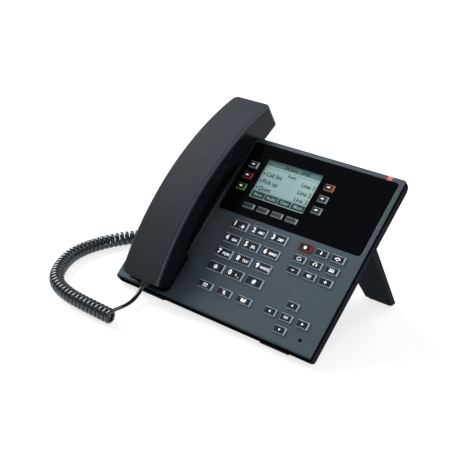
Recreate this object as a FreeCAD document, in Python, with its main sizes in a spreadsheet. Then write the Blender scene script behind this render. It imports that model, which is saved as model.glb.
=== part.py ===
# Desk IP phone: a thin sloped base on a folding stand, with a corded handset in a cradle on the left.
# Lengths are millimetres. The pieces are drawn on a flat face: x runs to the right, y up the slope and z
# out of the face, from the middle key of the first dial row. The whole phone is tilted at the end.
import FreeCAD, Part
import math
import os
import re
import Sketcher

V = FreeCAD.Vector
doc = FreeCAD.newDocument("desk_ip_phone")

# Driving dimensions
DIMENSIONS = {
    # Base slab
    "tilt_angle": 40.0,
    "slab_width": 220.4,
    "slab_right": 104.5,
    "slab_depth": 176.2,
    "slab_back": 88.2,
    "slab_thickness": 11.0,
    "corner_radius": 3.2,
    "front_radius": 3.5,
    "back_radius": 2.8,
    "wall": 2.2,
    "front_clearance": 1.4,
    "seam_height": 1.0,
    "seam_depth": 0.9,
    # Housing under the slab
    "step_drop": 5.5,
    "step_side_margin": 9.5,
    "step_front_margin": 8.0,
    "step_back_margin": 8.2,
    "pod_drop": 13.5,
    "pod_length": 44.0,
    "pod_left_margin": 2.0,
    "pod_right_margin": 28.0,
    # Handset cradle
    "cradle_x": -78.5,
    "tub_wall": 1.8,
    "tub_gap": 0.3,
    "ear_well_width": 44.6,
    "ear_well_front": 56.0,
    "ear_well_depth": 7.0,
    "ear_slope": 9.7,
    "mouth_well_width": 49.0,
    "mouth_well_front": -83.2,
    "mouth_well_length": 41.0,
    "mouth_well_depth": 6.2,
    "mouth_well_radius": 5.0,
    "trough_width": 41.0,
    "trough_depth": 4.5,
    "trough_bevel": 3.5,
    "grille_columns": 7,
    "grille_rows": 11,
    "grille_pitch": 4.4,
    "grille_hole": 1.8,
    # Display window
    "window_left": -54.3,
    "window_right": 100.4,
    "window_front": 9.4,
    "window_back": 83.1,
    "window_radius": 3.4,
    "window_thickness": 1.5,
    "window_gap": 0.1,
    "window_backing": 1.0,
    "screen_x": -0.6,
    "screen_y": 49.4,
    "screen_width": 60.4,
    "screen_height": 40.2,
    "screen_border": 2.0,
    "screen_gap": 0.2,
    "module_border": 4.2,
    # Keys
    "key_rise": 1.3,
    "key_bevel": 0.7,
    "key_gap": 0.3,
    "key_travel": 1.0,
    "flange_lip": 0.9,
    "flange_height": 0.9,
    "dial_pitch_x": 21.5,
    "dial_pitch_y": 14.65,
    "dial_key_width": 17.4,
    "dial_key_height": 9.0,
    "feature_y": -62.8,
    "feature_key_width": 15.6,
    "feature_key_height": 7.0,
    "function_x": 66.7,
    "function_y": -10.5,
    "function_pitch_x": 16.75,
    "function_pitch_y": 11.35,
    "function_key_width": 12.8,
    "function_key_height": 7.0,
    "nav_y": -62.4,
    "nav_pitch_x": 16.75,
    "nav_pitch_y": 11.4,
    "nav_key_width": 11.6,
    "nav_key_height": 6.8,
    "line_left_x": -42.6,
    "line_right_x": 41.2,
    "line_y": 47.9,
    "line_pitch": 11.9,
    "line_key_width": 9.6,
    "line_key_height": 6.6,
    "soft_x": -0.6,
    "soft_y": 20.1,
    "soft_pitch": 15.9,
    "soft_key_width": 12.2,
    "soft_key_height": 5.0,
    "mic_x": 88.2,
    "mic_y": -75.3,
    "mic_radius": 1.6,
    "light_x": 89.3,
    "light_width": 5.0,
    # Inside the base
    "board_left": -49.5,
    "board_edge_gap": 0.6,
    "board_thickness": 1.6,
    "board_depth": 7.9,
    "post_radius": 2.4,
    "mat_thickness": 1.0,
    "mat_gap": 0.2,
    "mat_margin": 2.0,
    "boss_radius": 3.2,
    "boss_gap": 0.4,
    "pilot_radius": 1.2,
    "screw_radius": 1.0,
    "screw_length": 8.0,
    "screw_head_radius": 2.6,
    "screw_head_height": 1.0,
    "speaker_radius": 19.0,
    "speaker_y": -16.0,
    "speaker_rim": 2.0,
    "magnet_radius": 9.5,
    "magnet_gap": 0.9,
    "hook_width": 10.0,
    "hook_length": 7.0,
    "hook_y": 66.0,
    "hook_gap": 0.4,
    "hook_top": 9.0,
    "hook_rise": 3.0,
    "hook_flange": 1.6,
    # Sockets and plugs
    "network_width": 16.0,
    "network_height": 13.0,
    "network_depth": 16.0,
    "network_x": -34.0,
    "network_pitch": 22.0,
    "network_socket_width": 11.8,
    "network_socket_height": 8.6,
    "network_socket_depth": 12.0,
    "power_x": 12.0,
    "power_width": 11.0,
    "power_bore": 3.2,
    "power_pin": 1.0,
    "power_depth": 10.0,
    "modular_y": 46.0,
    "modular_pitch": 15.0,
    "modular_width": 7.8,
    "modular_height": 6.8,
    "modular_depth": 9.0,
    "modular_wall": 2.2,
    "modular_lift": 1.0,
    "socket_gap": 0.2,
    "plug_gap": 0.1,
    "plug_stub": 3.4,
    "plug_neck": 5.0,
    # Handset
    "handset_front": -84.5,
    "handset_back": 120.5,
    "handset_mouth_width": 45.0,
    "handset_ear_width": 45.0,
    "handset_corner": 6.0,
    "handset_draft": 0.9,
    "handset_mouth_top": 15.5,
    "handset_crown": 32.0,
    "handset_crown_y": 8.0,
    "handset_ear_top": 6.3,
    "handset_grip": 17.5,
    "handset_edge": 2.4,
    "handset_wall": 2.4,
    "handset_parting": 3.4,
    "rest_gap": 0.35,
    "ear_cup_front": 61.0,
    "ear_end_lean": 4.2,
    "mouth_cup_back": -47.5,
    "mouth_end_lean": 4.0,
    "cup_lean": 6.0,
    "arch_spring": 4.5,
    "arch_blend": 6.0,
    "receiver_y": 88.0,
    "receiver_radius": 13.0,
    "receiver_height": 8.0,
    "receiver_hole": 1.2,
    "receiver_ring": 6.0,
    "capsule_y": -66.0,
    "capsule_radius": 4.8,
    "capsule_height": 6.0,
    "handset_jack_z": 4.2,
    # Stand
    "hinge_y": 20.2,
    "hinge_drop": 4.5,
    "hinge_pin_radius": 2.2,
    "hinge_gap": 0.08,
    "stand_lean": 30.0,
    "stand_inset": 0.5,
    "stand_thickness": 8.2,
    "stand_foot_thickness": 6.6,
    "stand_gap": 0.5,
    "leg_width": 26.7,
    "leg_flare": 7.0,
    "crossbar_height": 20.0,
    "shoulder_rise": 8.7,
    "stand_bevel": 0.9,
    "lug_spread": 56.0,
    "lug_width": 8.0,
    "lug_wall": 1.4,
    "lug_gap": 0.3,
    # Feet
    "foot_pad": 1.2,
    "foot_width": 30.0,
    "foot_length": 6.5,
    "foot_spread": 70.0,
    # Handset cord
    "cord_diameter": 3.6,
    "curl_radius": 5.2,
    "curl_pitch": 5.15,
}

# Places that follow from the driving dimensions
DERIVED = {
    "slab_left": "slab_right - slab_width",
    "slab_front": "slab_back - slab_depth",
    "slab_middle": "slab_right - slab_width / 2",
    "step_left": "slab_left + step_side_margin",
    "step_right": "slab_right - step_side_margin",
    "step_front": "slab_front + step_front_margin",
    "step_back": "slab_back - step_back_margin",
    "step_bottom": "-slab_thickness - step_drop",
    "step_floor": "step_bottom + wall",
    "pod_left": "step_left + pod_left_margin",
    "pod_right": "step_right - pod_right_margin",
    "pod_front": "step_back - pod_length",
    "pod_bottom": "step_bottom - pod_drop",
    "pod_floor": "pod_bottom + wall",
    "rim_floor": "-slab_thickness + wall",
    "window_bottom": "-wall - window_backing",
    "mouth_well_back": "mouth_well_front + mouth_well_length",
    "trough_bottom": "-trough_depth - tub_wall",
    "board_top": "-board_depth",
    "board_bottom": "-board_depth - board_thickness",
    "board_right": "step_right - wall - board_edge_gap",
    "board_front": "step_front + wall + board_edge_gap",
    "board_back": "step_back - wall - board_edge_gap",
    "mat_top": "board_top + mat_thickness",
    "bump_top": "-wall - flange_height - key_travel - mat_gap",
    "hook_floor": "-ear_well_depth - (hook_y + hook_length - ear_well_front) * tan(ear_slope)",
    "hook_stop": "hook_floor - 2 * tub_wall - hook_rise",
    "jack_back": "step_back - network_depth",
    "jack_top": "pod_floor + network_height",
    "modular_z": "pod_floor + modular_wall + modular_height / 2 + modular_lift",
    "hinge_z": "step_bottom - hinge_drop",
    "mouth_bottom": "-mouth_well_depth + rest_gap",
    "desk": "(slab_front + front_radius) * sin(tilt_angle) - front_radius - front_clearance"
            " - (slab_thickness - front_radius) * cos(tilt_angle)",
    "hinge_height": "hinge_y * sin(tilt_angle) + hinge_z * cos(tilt_angle) - desk",
}

sheet = doc.addObject("Spreadsheet::Sheet", "dims")
for row, (alias, entry) in enumerate(list(DIMENSIONS.items()) + list(DERIVED.items()), start=1):
    sheet.set("A%d" % row, alias)
    sheet.set("B%d" % row, str(entry) if alias in DIMENSIONS else "=" + entry)
    sheet.setAlias("B%d" % row, alias)
doc.recompute()
size = {alias: float(sheet.get(alias)) for alias in list(DIMENSIONS) + list(DERIVED)}

# Cutters run this far past what they cut
PAST = 1.0
FAR = 80.0


def bound(text):
    """Expression with each sheet alias written as a reference to its cell."""
    return re.sub(r"[a-z_]{2,}", lambda word: "dims." + word.group(0), str(text))


def number(text):
    """Number that a sum of sheet aliases stands for."""
    sheet.set("D1", "=" + str(text))
    sheet.recompute()
    return float(sheet.get("D1"))


# Building blocks
def place(thing, x, y, z):
    for axis, text in zip("xyz", (x, y, z)):
        thing.setExpression(".Placement.Base." + axis, bound(text))


def box(name, across, along, up):
    """Block between pairs of expressions on x, y and z."""
    thing = doc.addObject("Part::Box", name)
    for side, (low, high) in zip(("Length", "Width", "Height"), (across, along, up)):
        thing.setExpression(side, bound("(%s) - (%s)" % (high, low)))
    place(thing, across[0], along[0], up[0])
    return thing


def about(middle, width):
    """Pair of expressions either side of a middle."""
    return ("%s - (%s) / 2" % (middle, width), "%s + (%s) / 2" % (middle, width))


def leaning_box(name, across, length, height, y, z, angle):
    """Block that starts at a line along x and leans by an angle about it."""
    thing = doc.addObject("Part::Box", name)
    thing.setExpression("Length", bound("(%s) - (%s)" % (across[1], across[0])))
    thing.setExpression("Width", bound(length))
    thing.setExpression("Height", bound(height))
    thing.Placement.Rotation = FreeCAD.Rotation(V(1, 0, 0), number(angle))
    place(thing, across[0], y, z)
    return thing


TURNS = {
    "x": FreeCAD.Rotation(V(0, 1, 0), 90),
    "y": FreeCAD.Rotation(V(1, 0, 0), -90),
    "z": FreeCAD.Rotation(),
}


def rod(name, axis, radius, length, x, y, z):
    """Cylinder from a point along +x, +y or +z."""
    thing = doc.addObject("Part::Cylinder", name)
    thing.Placement.Rotation = TURNS[axis]
    thing.setExpression("Radius", bound(radius))
    thing.setExpression("Height", bound(length))
    place(thing, x, y, z)
    return thing


def joined(name, things):
    union = doc.addObject("Part::MultiFuse", name)
    union.Shapes = things
    return union


def cut(name, base, tools):
    result = doc.addObject("Part::Cut", name)
    result.Base = base
    result.Tool = tools[0] if len(tools) == 1 else joined(name + "_tools", tools)
    return result


def overlap(name, first, second):
    result = doc.addObject("Part::Common", name)
    result.Base = first
    result.Tool = second
    return result


def runs_along(axis):
    """Test for straight edges that run along one axis."""
    direction = {"x": V(1, 0, 0), "y": V(0, 1, 0), "z": V(0, 0, 1)}[axis]

    def test(edge):
        straight = isinstance(edge.Curve, Part.Line)
        return straight and abs(edge.Curve.Direction.dot(direction)) > 0.999

    return test


def dressed(kind, name, base, amount, chosen):
    """Fillet or chamfer on the edges that pass a test."""
    doc.recompute()
    result = doc.addObject("Part::" + kind, name)
    result.Base = base
    picked = [index for index, edge in enumerate(base.Shape.Edges, start=1) if chosen(edge)]
    result.Edges = [(index, amount, amount) for index in picked]
    return result


def rounded_box(name, across, along, up, radius):
    return dressed("Fillet", name, box(name + "_block", across, along, up), radius, runs_along("z"))


pieces = {}


def piece(node, thing):
    """Register a finished sub-part under its name."""
    thing.Label = node
    pieces[node] = thing
    return thing


# Slab outline shared by both covers: half round back edge, soft front edges, rounded plan corners
FULL = ("slab_left", "slab_right")
DEEP = ("slab_front", "slab_back")
THICK = ("-slab_thickness", "0")


def on_edge(back, top):
    """Test for one of the four long edges of the slab."""
    def test(edge):
        middle = edge.CenterOfMass
        is_back = middle.y > size["slab_back"] - size["slab_depth"] / 2
        is_top = middle.z > -size["slab_thickness"] / 2
        return runs_along("x")(edge) and is_back == back and is_top == top

    return test


def slab_envelope(name):
    shape = box(name + "_block", FULL, DEEP, THICK)
    shape = dressed("Fillet", name + "_back_top", shape, size["back_radius"], on_edge(True, True))
    under = size["slab_thickness"] - size["back_radius"] - size["window_gap"]
    shape = dressed("Fillet", name + "_back_under", shape, under, on_edge(True, False))
    shape = dressed("Fillet", name + "_front_top", shape, size["front_radius"], on_edge(False, True))
    shape = dressed("Fillet", name + "_front_under", shape, size["front_radius"], on_edge(False, False))
    return overlap(name, shape, rounded_box(name + "_plan", FULL, DEEP, THICK, size["corner_radius"]))


# Key fields: each key has a place, a size and the underside of the cover that holds it in
def key_table():
    keys = {}
    dial = ("1", "2", "3", "4", "5", "6", "7", "8", "9", "star", "0", "hash")
    for count, name in enumerate(dial):
        x = "dial_pitch_x * (%d)" % (count % 3 - 1)
        y = "-dial_pitch_y * %d" % (count // 3)
        keys["key_" + name] = (x, y, "dial_key", "-wall")
    for column, name in enumerate(("mailbox", "mute", "contacts")):
        x = "dial_pitch_x * (%d)" % (column - 1)
        keys["key_" + name] = (x, "feature_y", "feature_key", "-wall")
    functions = ("record", "transfer", "hold", "redial", "headset", "conference")
    functions += ("volume_down", "speaker", "volume_up")
    for count, name in enumerate(functions):
        x = "function_x + function_pitch_x * (%d)" % (count % 3 - 1)
        y = "function_y - function_pitch_y * (%d)" % (count // 3 - 1)
        keys["key_" + name] = (x, y, "function_key", "-wall")
    steps = {"up": (0, 1), "left": (-1, 0), "ok": (0, 0), "right": (1, 0), "down": (0, -1)}
    for name, (right, up) in steps.items():
        x = "function_x + nav_pitch_x * (%d)" % right
        y = "nav_y + nav_pitch_y * (%d)" % up
        keys["key_" + name] = (x, y, "nav_key", "-wall")
    for side in ("left", "right"):
        for count in range(3):
            y = "line_y + line_pitch * (%d)" % (1 - count)
            keys["line_key_%s_%d" % (side, count + 1)] = ("line_%s_x" % side, y, "line_key", "window_bottom")
    for count in range(4):
        x = "soft_x + soft_pitch * (%.1f)" % (count - 1.5)
        keys["softkey_%d" % (count + 1)] = (x, "soft_y", "soft_key", "window_bottom")
    return keys


KEYS = key_table()
WINDOW_KEYS = [name for name in KEYS if KEYS[name][3] == "window_bottom"]


def key_openings(prefix, names, up):
    openings = []
    for name in names:
        x, y, kind, _ = KEYS[name]
        across = about(x, kind + "_width + 2 * key_gap")
        along = about(y, kind + "_height + 2 * key_gap")
        openings.append(box(prefix + name, across, along, up))
    return openings


# Screw bosses between the key fields, and posts under the board
SCREWS = [(-42, -52), (37, -52), (72, 66), (-46, 16)]
POSTS = [(-42, -20), (37, -73), (86, -45), (84, 48)]


# Handset cradle: an inclined ear well that is open at the back, a mouth well, and a trough between them
def ear_well(name, grow):
    across = about("cradle_x", "ear_well_width + 2 * (%s)" % grow)
    front = "ear_well_front - (%s)" % grow
    length = "slab_back - ear_well_front + %d" % FAR
    return leaning_box(name, across, length, FAR, front, "-ear_well_depth - (%s)" % grow, "-ear_slope")


def mouth_well(name, grow, top):
    across = about("cradle_x", "mouth_well_width + 2 * (%s)" % grow)
    along = ("mouth_well_front - (%s)" % grow, "mouth_well_back + (%s)" % grow)
    up = ("-mouth_well_depth - (%s)" % grow, top)
    return rounded_box(name, across, along, up, size["mouth_well_radius"])


def trough(name, grow, top):
    across = about("cradle_x", "trough_width + 2 * (%s)" % grow)
    along = ("mouth_well_back - %d" % PAST, "ear_well_front + %d" % PAST)
    return box(name, across, along, ("-trough_depth - (%s)" % grow, top))


def at_trough_floor(edge):
    return runs_along("y")(edge) and edge.CenterOfMass.z < -size["trough_depth"] + 0.01


def grille_holes():
    """Grid of small square holes over the loudspeaker."""
    holes = []
    for row in range(int(size["grille_rows"])):
        y = "speaker_y + grille_pitch * (%d - (grille_rows - 1) / 2)" % row
        for column in range(int(size["grille_columns"])):
            x = "cradle_x + grille_pitch * (%d - (grille_columns - 1) / 2)" % column
            up = ("trough_bottom - %d" % PAST, "0")
            name = "grille_%d_%d" % (row, column)
            holes.append(box(name, about(x, "grille_hole"), about(y, "grille_hole"), up))
    return holes


def make_top_cover():
    layer = box("cover_layer", FULL, DEEP, ("-wall", PAST))
    face = overlap("cover_face", slab_envelope("cover_envelope"), layer)
    seam_out = box("seam_out", FULL, DEEP, ("-wall - %d" % PAST, "-wall + seam_height"))
    inner_x = ("slab_left + seam_depth", "slab_right - seam_depth")
    inner_y = ("slab_front + seam_depth", "slab_back - 2 * seam_depth")
    seam_in = rounded_box("seam_in", inner_x, inner_y, ("-wall - 2 * %d" % PAST, "0"), size["corner_radius"])
    seamed = cut("cover_seamed", face, [cut("seam_groove", seam_out, [seam_in])])
    backing_x = ("window_left - wall", "window_right - wall")
    backing_y = ("window_front - wall", "window_back - wall")
    backing = box("window_backing_plate", backing_x, backing_y, ("window_bottom", "-wall"))
    above = box("ear_tub_above", FULL, ("0", "slab_back + 2 * %d" % FAR), ("0", "2 * %d" % FAR))
    behind = box("ear_tub_behind", FULL, ("slab_back - tub_wall", "slab_back + 2 * %d" % FAR), (-FAR, FAR))
    ear_tub = cut("ear_tub", ear_well("ear_tub_block", "tub_wall"), [above, behind])
    tubs = [ear_tub, mouth_well("mouth_tub", "tub_wall", "0"), trough("trough_tub", "tub_wall", "0")]
    bosses = []
    for count, (x, y) in enumerate(SCREWS):
        bosses.append(rod("boss_%d" % count, "z", "boss_radius", "-wall - step_floor", x, y, "step_floor"))
    body = joined("cover_body", [seamed, backing] + tubs + bosses)

    trough_block = trough("trough_block", "0", PAST)
    trough_cut = dressed("Chamfer", "trough_cut", trough_block, size["trough_bevel"], at_trough_floor)
    cuts = [ear_well("ear_cut", "0"), mouth_well("mouth_cut", "0", PAST), trough_cut]
    recess_x = ("window_left", "window_right")
    recess_y = ("window_front", "window_back")
    recess_z = ("-window_thickness", PAST)
    cuts.append(rounded_box("window_recess", recess_x, recess_y, recess_z, size["window_radius"]))
    through = ("window_bottom - %d" % PAST, PAST)
    screen_x = about("screen_x", "screen_width + 2 * screen_border")
    screen_y = about("screen_y", "screen_height + 2 * screen_border")
    cuts.append(box("screen_opening", screen_x, screen_y, through))
    cuts += key_openings("opening_", KEYS, through)
    under = "-wall - %d" % PAST
    cuts.append(rod("mic_hole", "z", "mic_radius", "wall + 2 * %d" % PAST, "mic_x", "mic_y", under))
    light_x = about("light_x", "light_width + 2 * window_gap")
    light_y = ("window_back", "slab_back + %d" % PAST)
    cuts.append(box("light_notch", light_x, light_y, (under, PAST)))
    slot_x = about("cradle_x", "hook_width + 2 * hook_gap")
    slot_y = about("hook_y", "hook_length + 2 * hook_gap")
    cuts.append(box("hook_slot", slot_x, slot_y, (-FAR, "0")))
    for count, (x, y) in enumerate(SCREWS):
        low = "step_floor - %d" % PAST
        cuts.append(rod("pilot_%d" % count, "z", "pilot_radius", "screw_length + %d" % PAST, x, y, low))
    cuts += grille_holes()
    piece("top_cover", cut("top_cover", body, cuts))


# Bottom cover: rim, step, rear pod, hinge lugs, posts, speaker ring and hook stop
def network_x(count):
    return "network_x + network_pitch * %d" % count


def modular_y(count):
    return "modular_y + modular_pitch * %d" % count


def wall_openings():
    up = ("pod_floor", "jack_top + socket_gap")
    through = ("step_back - wall - %d" % PAST, "step_back + %d" % PAST)
    openings = []
    for count in range(2):
        across = about(network_x(count), "network_width + 2 * socket_gap")
        openings.append(box("network_opening_%d" % count, across, through, up))
    openings.append(box("power_opening", about("power_x", "power_width + 2 * socket_gap"), through, up))
    sideways = ("pod_left - %d" % PAST, "pod_left + wall + %d" % PAST)
    for count in range(2):
        along = about(modular_y(count), "modular_width + 2 * modular_wall + 2 * socket_gap")
        height = ("pod_floor", "modular_z + modular_height / 2 + modular_wall + socket_gap")
        openings.append(box("modular_opening_%d" % count, sideways, along, height))
    return openings


def hinge_lugs():
    lugs = []
    for count, side in enumerate((-1, 1)):
        x = "slab_middle + lug_spread * (%d)" % side
        radius = "hinge_pin_radius + lug_wall"
        start = "%s - lug_width / 2" % x
        lugs.append(rod("lug_eye_%d" % count, "x", radius, "lug_width", start, "hinge_y", "hinge_z"))
        along = about("hinge_y", "2 * (%s)" % radius)
        lugs.append(box("lug_web_%d" % count, about(x, "lug_width"), along, ("hinge_z", "step_floor")))
    return lugs


def make_bottom_cover():
    layer = box("tray_layer", FULL, DEEP, ("-slab_thickness - %d" % PAST, "-wall"))
    rim = overlap("tray_rim", slab_envelope("tray_envelope"), layer)
    step_x = ("step_left", "step_right")
    step_y = ("step_front", "step_back")
    step = rounded_box("tray_step", step_x, step_y, ("step_bottom", "rim_floor"), size["corner_radius"])
    pod_x = ("pod_left", "pod_right")
    pod_y = ("pod_front", "step_back")
    pod = rounded_box("tray_pod", pod_x, pod_y, ("pod_bottom", "step_floor"), size["corner_radius"])
    hollow_x = ("slab_left + wall", "slab_right - wall")
    hollow_y = ("slab_front + wall", "slab_back - 2 * wall")
    hollows = [box("rim_hollow", hollow_x, hollow_y, ("rim_floor", "0"))]
    inside_x = ("step_left + wall", "step_right - wall")
    inside_y = ("step_front + wall", "step_back - wall")
    hollows.append(box("step_hollow", inside_x, inside_y, ("step_floor", "0")))
    deep_x = ("pod_left + wall", "pod_right - wall")
    deep_y = ("pod_front + wall", "step_back - wall")
    hollows.append(box("pod_hollow", deep_x, deep_y, ("pod_floor", "0")))
    hollows.append(ear_well("ear_relief", "tub_wall + tub_gap"))
    tray = cut("tray", joined("tray_solid", [rim, step, pod]), hollows)

    extras = hinge_lugs()
    for count, (x, y) in enumerate(POSTS):
        height = "board_bottom - step_floor"
        extras.append(rod("post_%d" % count, "z", "post_radius", height, x, y, "step_floor"))
    height = "trough_bottom - speaker_rim - step_floor"
    ring_out = rod("ring_out", "z", "speaker_radius", height, "cradle_x", "speaker_y", "step_floor")
    ring_in = rod("ring_in", "z", "speaker_radius - wall", height, "cradle_x", "speaker_y", "step_floor")
    extras.append(cut("speaker_ring", ring_out, [ring_in]))
    stop_y = about("hook_y", "hook_length + 2 * hook_flange")
    stop_up = ("pod_floor", "hook_stop - hook_flange")
    extras.append(box("hook_pedestal", about("cradle_x", "hook_width"), stop_y, stop_up))

    cuts = wall_openings()
    bore = "hinge_pin_radius + hinge_gap"
    reach = "2 * lug_spread + 2 * lug_width"
    start = "slab_middle - lug_spread - lug_width"
    cuts.append(rod("hinge_bore", "x", bore, reach, start, "hinge_y", "hinge_z"))
    for count, (x, y) in enumerate(SCREWS):
        low = "step_bottom - %d" % PAST
        cuts.append(rod("screw_hole_%d" % count, "z", "pilot_radius", "wall + 2 * %d" % PAST, x, y, low))
        sink = "screw_head_height + %d" % PAST
        wide = "screw_head_radius + screw_radius / 2"
        cuts.append(rod("screw_sink_%d" % count, "z", wide, sink, x, y, low))
    piece("bottom_cover", cut("bottom_cover", joined("tray_fitted", [tray] + extras), cuts))


# Display window and the module behind it
def make_window():
    across = ("window_left + window_gap", "window_right - window_gap")
    along = ("window_front + window_gap", "window_back - window_gap")
    pane = rounded_box("window_pane", across, along, ("-window_thickness", "0"), size["window_radius"])
    holes = key_openings("pane_", WINDOW_KEYS, ("-window_thickness - %d" % PAST, PAST))
    piece("display_window", cut("display_window", pane, holes))


def make_display():
    across = about("screen_x", "screen_width + 2 * module_border")
    along = about("screen_y", "screen_height + 2 * module_border")
    frame = box("module_frame", across, along, ("board_top", "window_bottom"))
    glass_x = about("screen_x", "screen_width + 2 * screen_border - 2 * screen_gap")
    glass_y = about("screen_y", "screen_height + 2 * screen_border - 2 * screen_gap")
    glass = box("module_glass", glass_x, glass_y, ("board_top", "-window_thickness"))
    piece("lcd_module", joined("lcd_module", [frame, glass]))


def make_message_light():
    along = ("window_back + window_gap", "slab_back")
    block = box("light_block", about("light_x", "light_width"), along, ("-wall", "0"))
    piece("message_light", overlap("message_light", slab_envelope("light_envelope"), block))


# Circuit board and keypad mat with one dome bump under each key
def boss_clearance(prefix, low, high):
    holes = []
    for count, (x, y) in enumerate(SCREWS):
        height = "(%s) - (%s) + 2 * %d" % (high, low, PAST)
        start = "%s - %d" % (low, PAST)
        holes.append(rod(prefix + str(count), "z", "boss_radius + boss_gap", height, x, y, start))
    return holes


def make_board():
    across = ("board_left", "board_right")
    along = ("board_front", "board_back")
    plate = box("board_plate", across, along, ("board_bottom", "board_top"))
    piece("main_board", cut("main_board", plate, boss_clearance("board_hole_", "board_bottom", "board_top")))


def make_keypad_mat():
    across = ("board_left + board_edge_gap", "board_right - board_edge_gap")
    along = ("board_front + board_edge_gap", "board_back - board_edge_gap")
    sheet_plate = box("mat_plate", across, along, ("board_top", "mat_top"))
    cut_x = about("screen_x", "screen_width + 2 * module_border + 2 * screen_gap")
    cut_y = about("screen_y", "screen_height + 2 * module_border + 2 * screen_gap")
    openings = boss_clearance("mat_hole_", "board_top", "mat_top")
    openings.append(box("mat_opening", cut_x, cut_y, ("board_top - %d" % PAST, "mat_top + %d" % PAST)))
    bumps = []
    for name, (x, y, kind, ceiling) in KEYS.items():
        top = "bump_top" if ceiling == "-wall" else "bump_top - window_backing"
        bump_x = about(x, kind + "_width - 2 * mat_margin")
        bump_y = about(y, kind + "_height - mat_margin")
        bumps.append(box("bump_" + name, bump_x, bump_y, ("board_top", top)))
    piece("keypad_mat", joined("keypad_mat", [cut("mat_sheet", sheet_plate, openings)] + bumps))


def make_loudspeaker():
    rim_low = "trough_bottom - speaker_rim"
    rim = rod("speaker_flange", "z", "speaker_radius", "speaker_rim", "cradle_x", "speaker_y", rim_low)
    basket = doc.addObject("Part::Cone", "speaker_basket")
    basket.setExpression("Radius1", bound("magnet_radius"))
    basket.setExpression("Radius2", bound("speaker_radius - wall - socket_gap"))
    basket.setExpression("Height", bound("(%s - step_floor - magnet_gap) / 2" % rim_low))
    place(basket, "cradle_x", "speaker_y", "(%s + step_floor + magnet_gap) / 2" % rim_low)
    low = "step_floor + magnet_gap"
    deep = "%s - (%s)" % (rim_low, low)
    magnet = rod("speaker_magnet", "z", "magnet_radius", deep, "cradle_x", "speaker_y", low)
    piece("loudspeaker", joined("loudspeaker", [rim, basket, magnet]))


def make_hook_switch():
    across = about("cradle_x", "hook_width")
    stem = box("hook_stem", across, about("hook_y", "hook_length"), ("hook_stop - hook_flange", "-hook_top"))
    wide_x = about("cradle_x", "hook_width + 2 * hook_flange")
    wide_y = about("hook_y", "hook_length + 2 * hook_flange")
    flange = box("hook_flange_plate", wide_x, wide_y, ("hook_stop - hook_flange", "hook_stop"))

    def on_top(edge):
        return abs(edge.CenterOfMass.z + size["hook_top"]) < 0.01

    tip = dressed("Chamfer", "hook_tip", stem, size["key_bevel"], on_top)
    piece("hook_switch", joined("hook_switch", [tip, flange]))


def make_screws():
    parts = []
    for count, (x, y) in enumerate(SCREWS):
        seat = "step_bottom + screw_head_height"
        head = ("screw_head_radius", "screw_head_height")
        parts.append(rod("screw_%d" % count, "z", "screw_radius", "screw_length", x, y, seat))
        parts.append(rod("screw_head_%d" % count, "z", *head, x, y, "step_bottom"))
    piece("case_screws", joined("case_screws", parts))


# Sockets in the rear pod
def make_rear_jacks():
    along = ("jack_back", "step_back")
    up = ("pod_floor", "jack_top")
    middle = "(pod_floor + jack_top) / 2"
    left = "network_x - network_width / 2"
    right = "power_x + power_width / 2"
    solids = [box("jack_board", (left, right), ("jack_back - board_thickness", "jack_back"), up)]
    cuts = []
    for count in range(2):
        x = network_x(count)
        solids.append(box("network_block_%d" % count, about(x, "network_width"), along, up))
        mouth = ("step_back - network_socket_depth", "step_back + %d" % PAST)
        wide = about(x, "network_socket_width")
        tall = about(middle, "network_socket_height")
        cuts.append(box("network_socket_%d" % count, wide, mouth, tall))
    solids.append(box("power_block", about("power_x", "power_width"), along, up))
    start = "step_back - power_depth"
    bore = rod("power_bore_rod", "y", "power_bore", "power_depth + %d" % PAST, "power_x", start, middle)
    pin = rod("power_pin_rod", "y", "power_pin", "power_depth", "power_x", start, middle)
    block = cut("jack_blocks", joined("jack_solids", solids), cuts + [bore])
    piece("rear_jacks", joined("rear_jacks", [block, pin]))


def make_cord_jacks():
    depth = "modular_depth + modular_wall"
    across = ("pod_left", "pod_left + %s" % depth)
    solids = []
    cuts = []
    for count in range(2):
        y = modular_y(count)
        along = about(y, "modular_width + 2 * modular_wall")
        up = ("pod_floor", "modular_z + modular_height / 2 + modular_wall")
        solids.append(box("modular_block_%d" % count, across, along, up))
        mouth = ("pod_left - %d" % PAST, "pod_left + modular_depth")
        wide = about(y, "modular_width")
        cuts.append(box("modular_socket_%d" % count, mouth, wide, about("modular_z", "modular_height")))
    bridge_x = ("pod_left + %s - board_thickness" % depth, "pod_left + %s" % depth)
    bridge_y = (modular_y(0), modular_y(1))
    solids.append(box("modular_bridge", bridge_x, bridge_y, ("pod_floor", "modular_z")))
    piece("cord_jacks", cut("cord_jacks", joined("modular_solids", solids), cuts))


def make_base_plug():
    body_x = ("pod_left", "pod_left + modular_depth")
    body_y = about("modular_y", "modular_width - 2 * plug_gap")
    body_z = about("modular_z", "modular_height - 2 * plug_gap")
    body = box("base_plug_body", body_x, body_y, body_z)
    neck_x = ("pod_left - plug_stub", "pod_left")
    neck = box("base_plug_neck", neck_x, about("modular_y", "plug_neck"), about("modular_z", "plug_neck"))
    piece("base_plug", joined("base_plug", [body, neck]))


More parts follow.
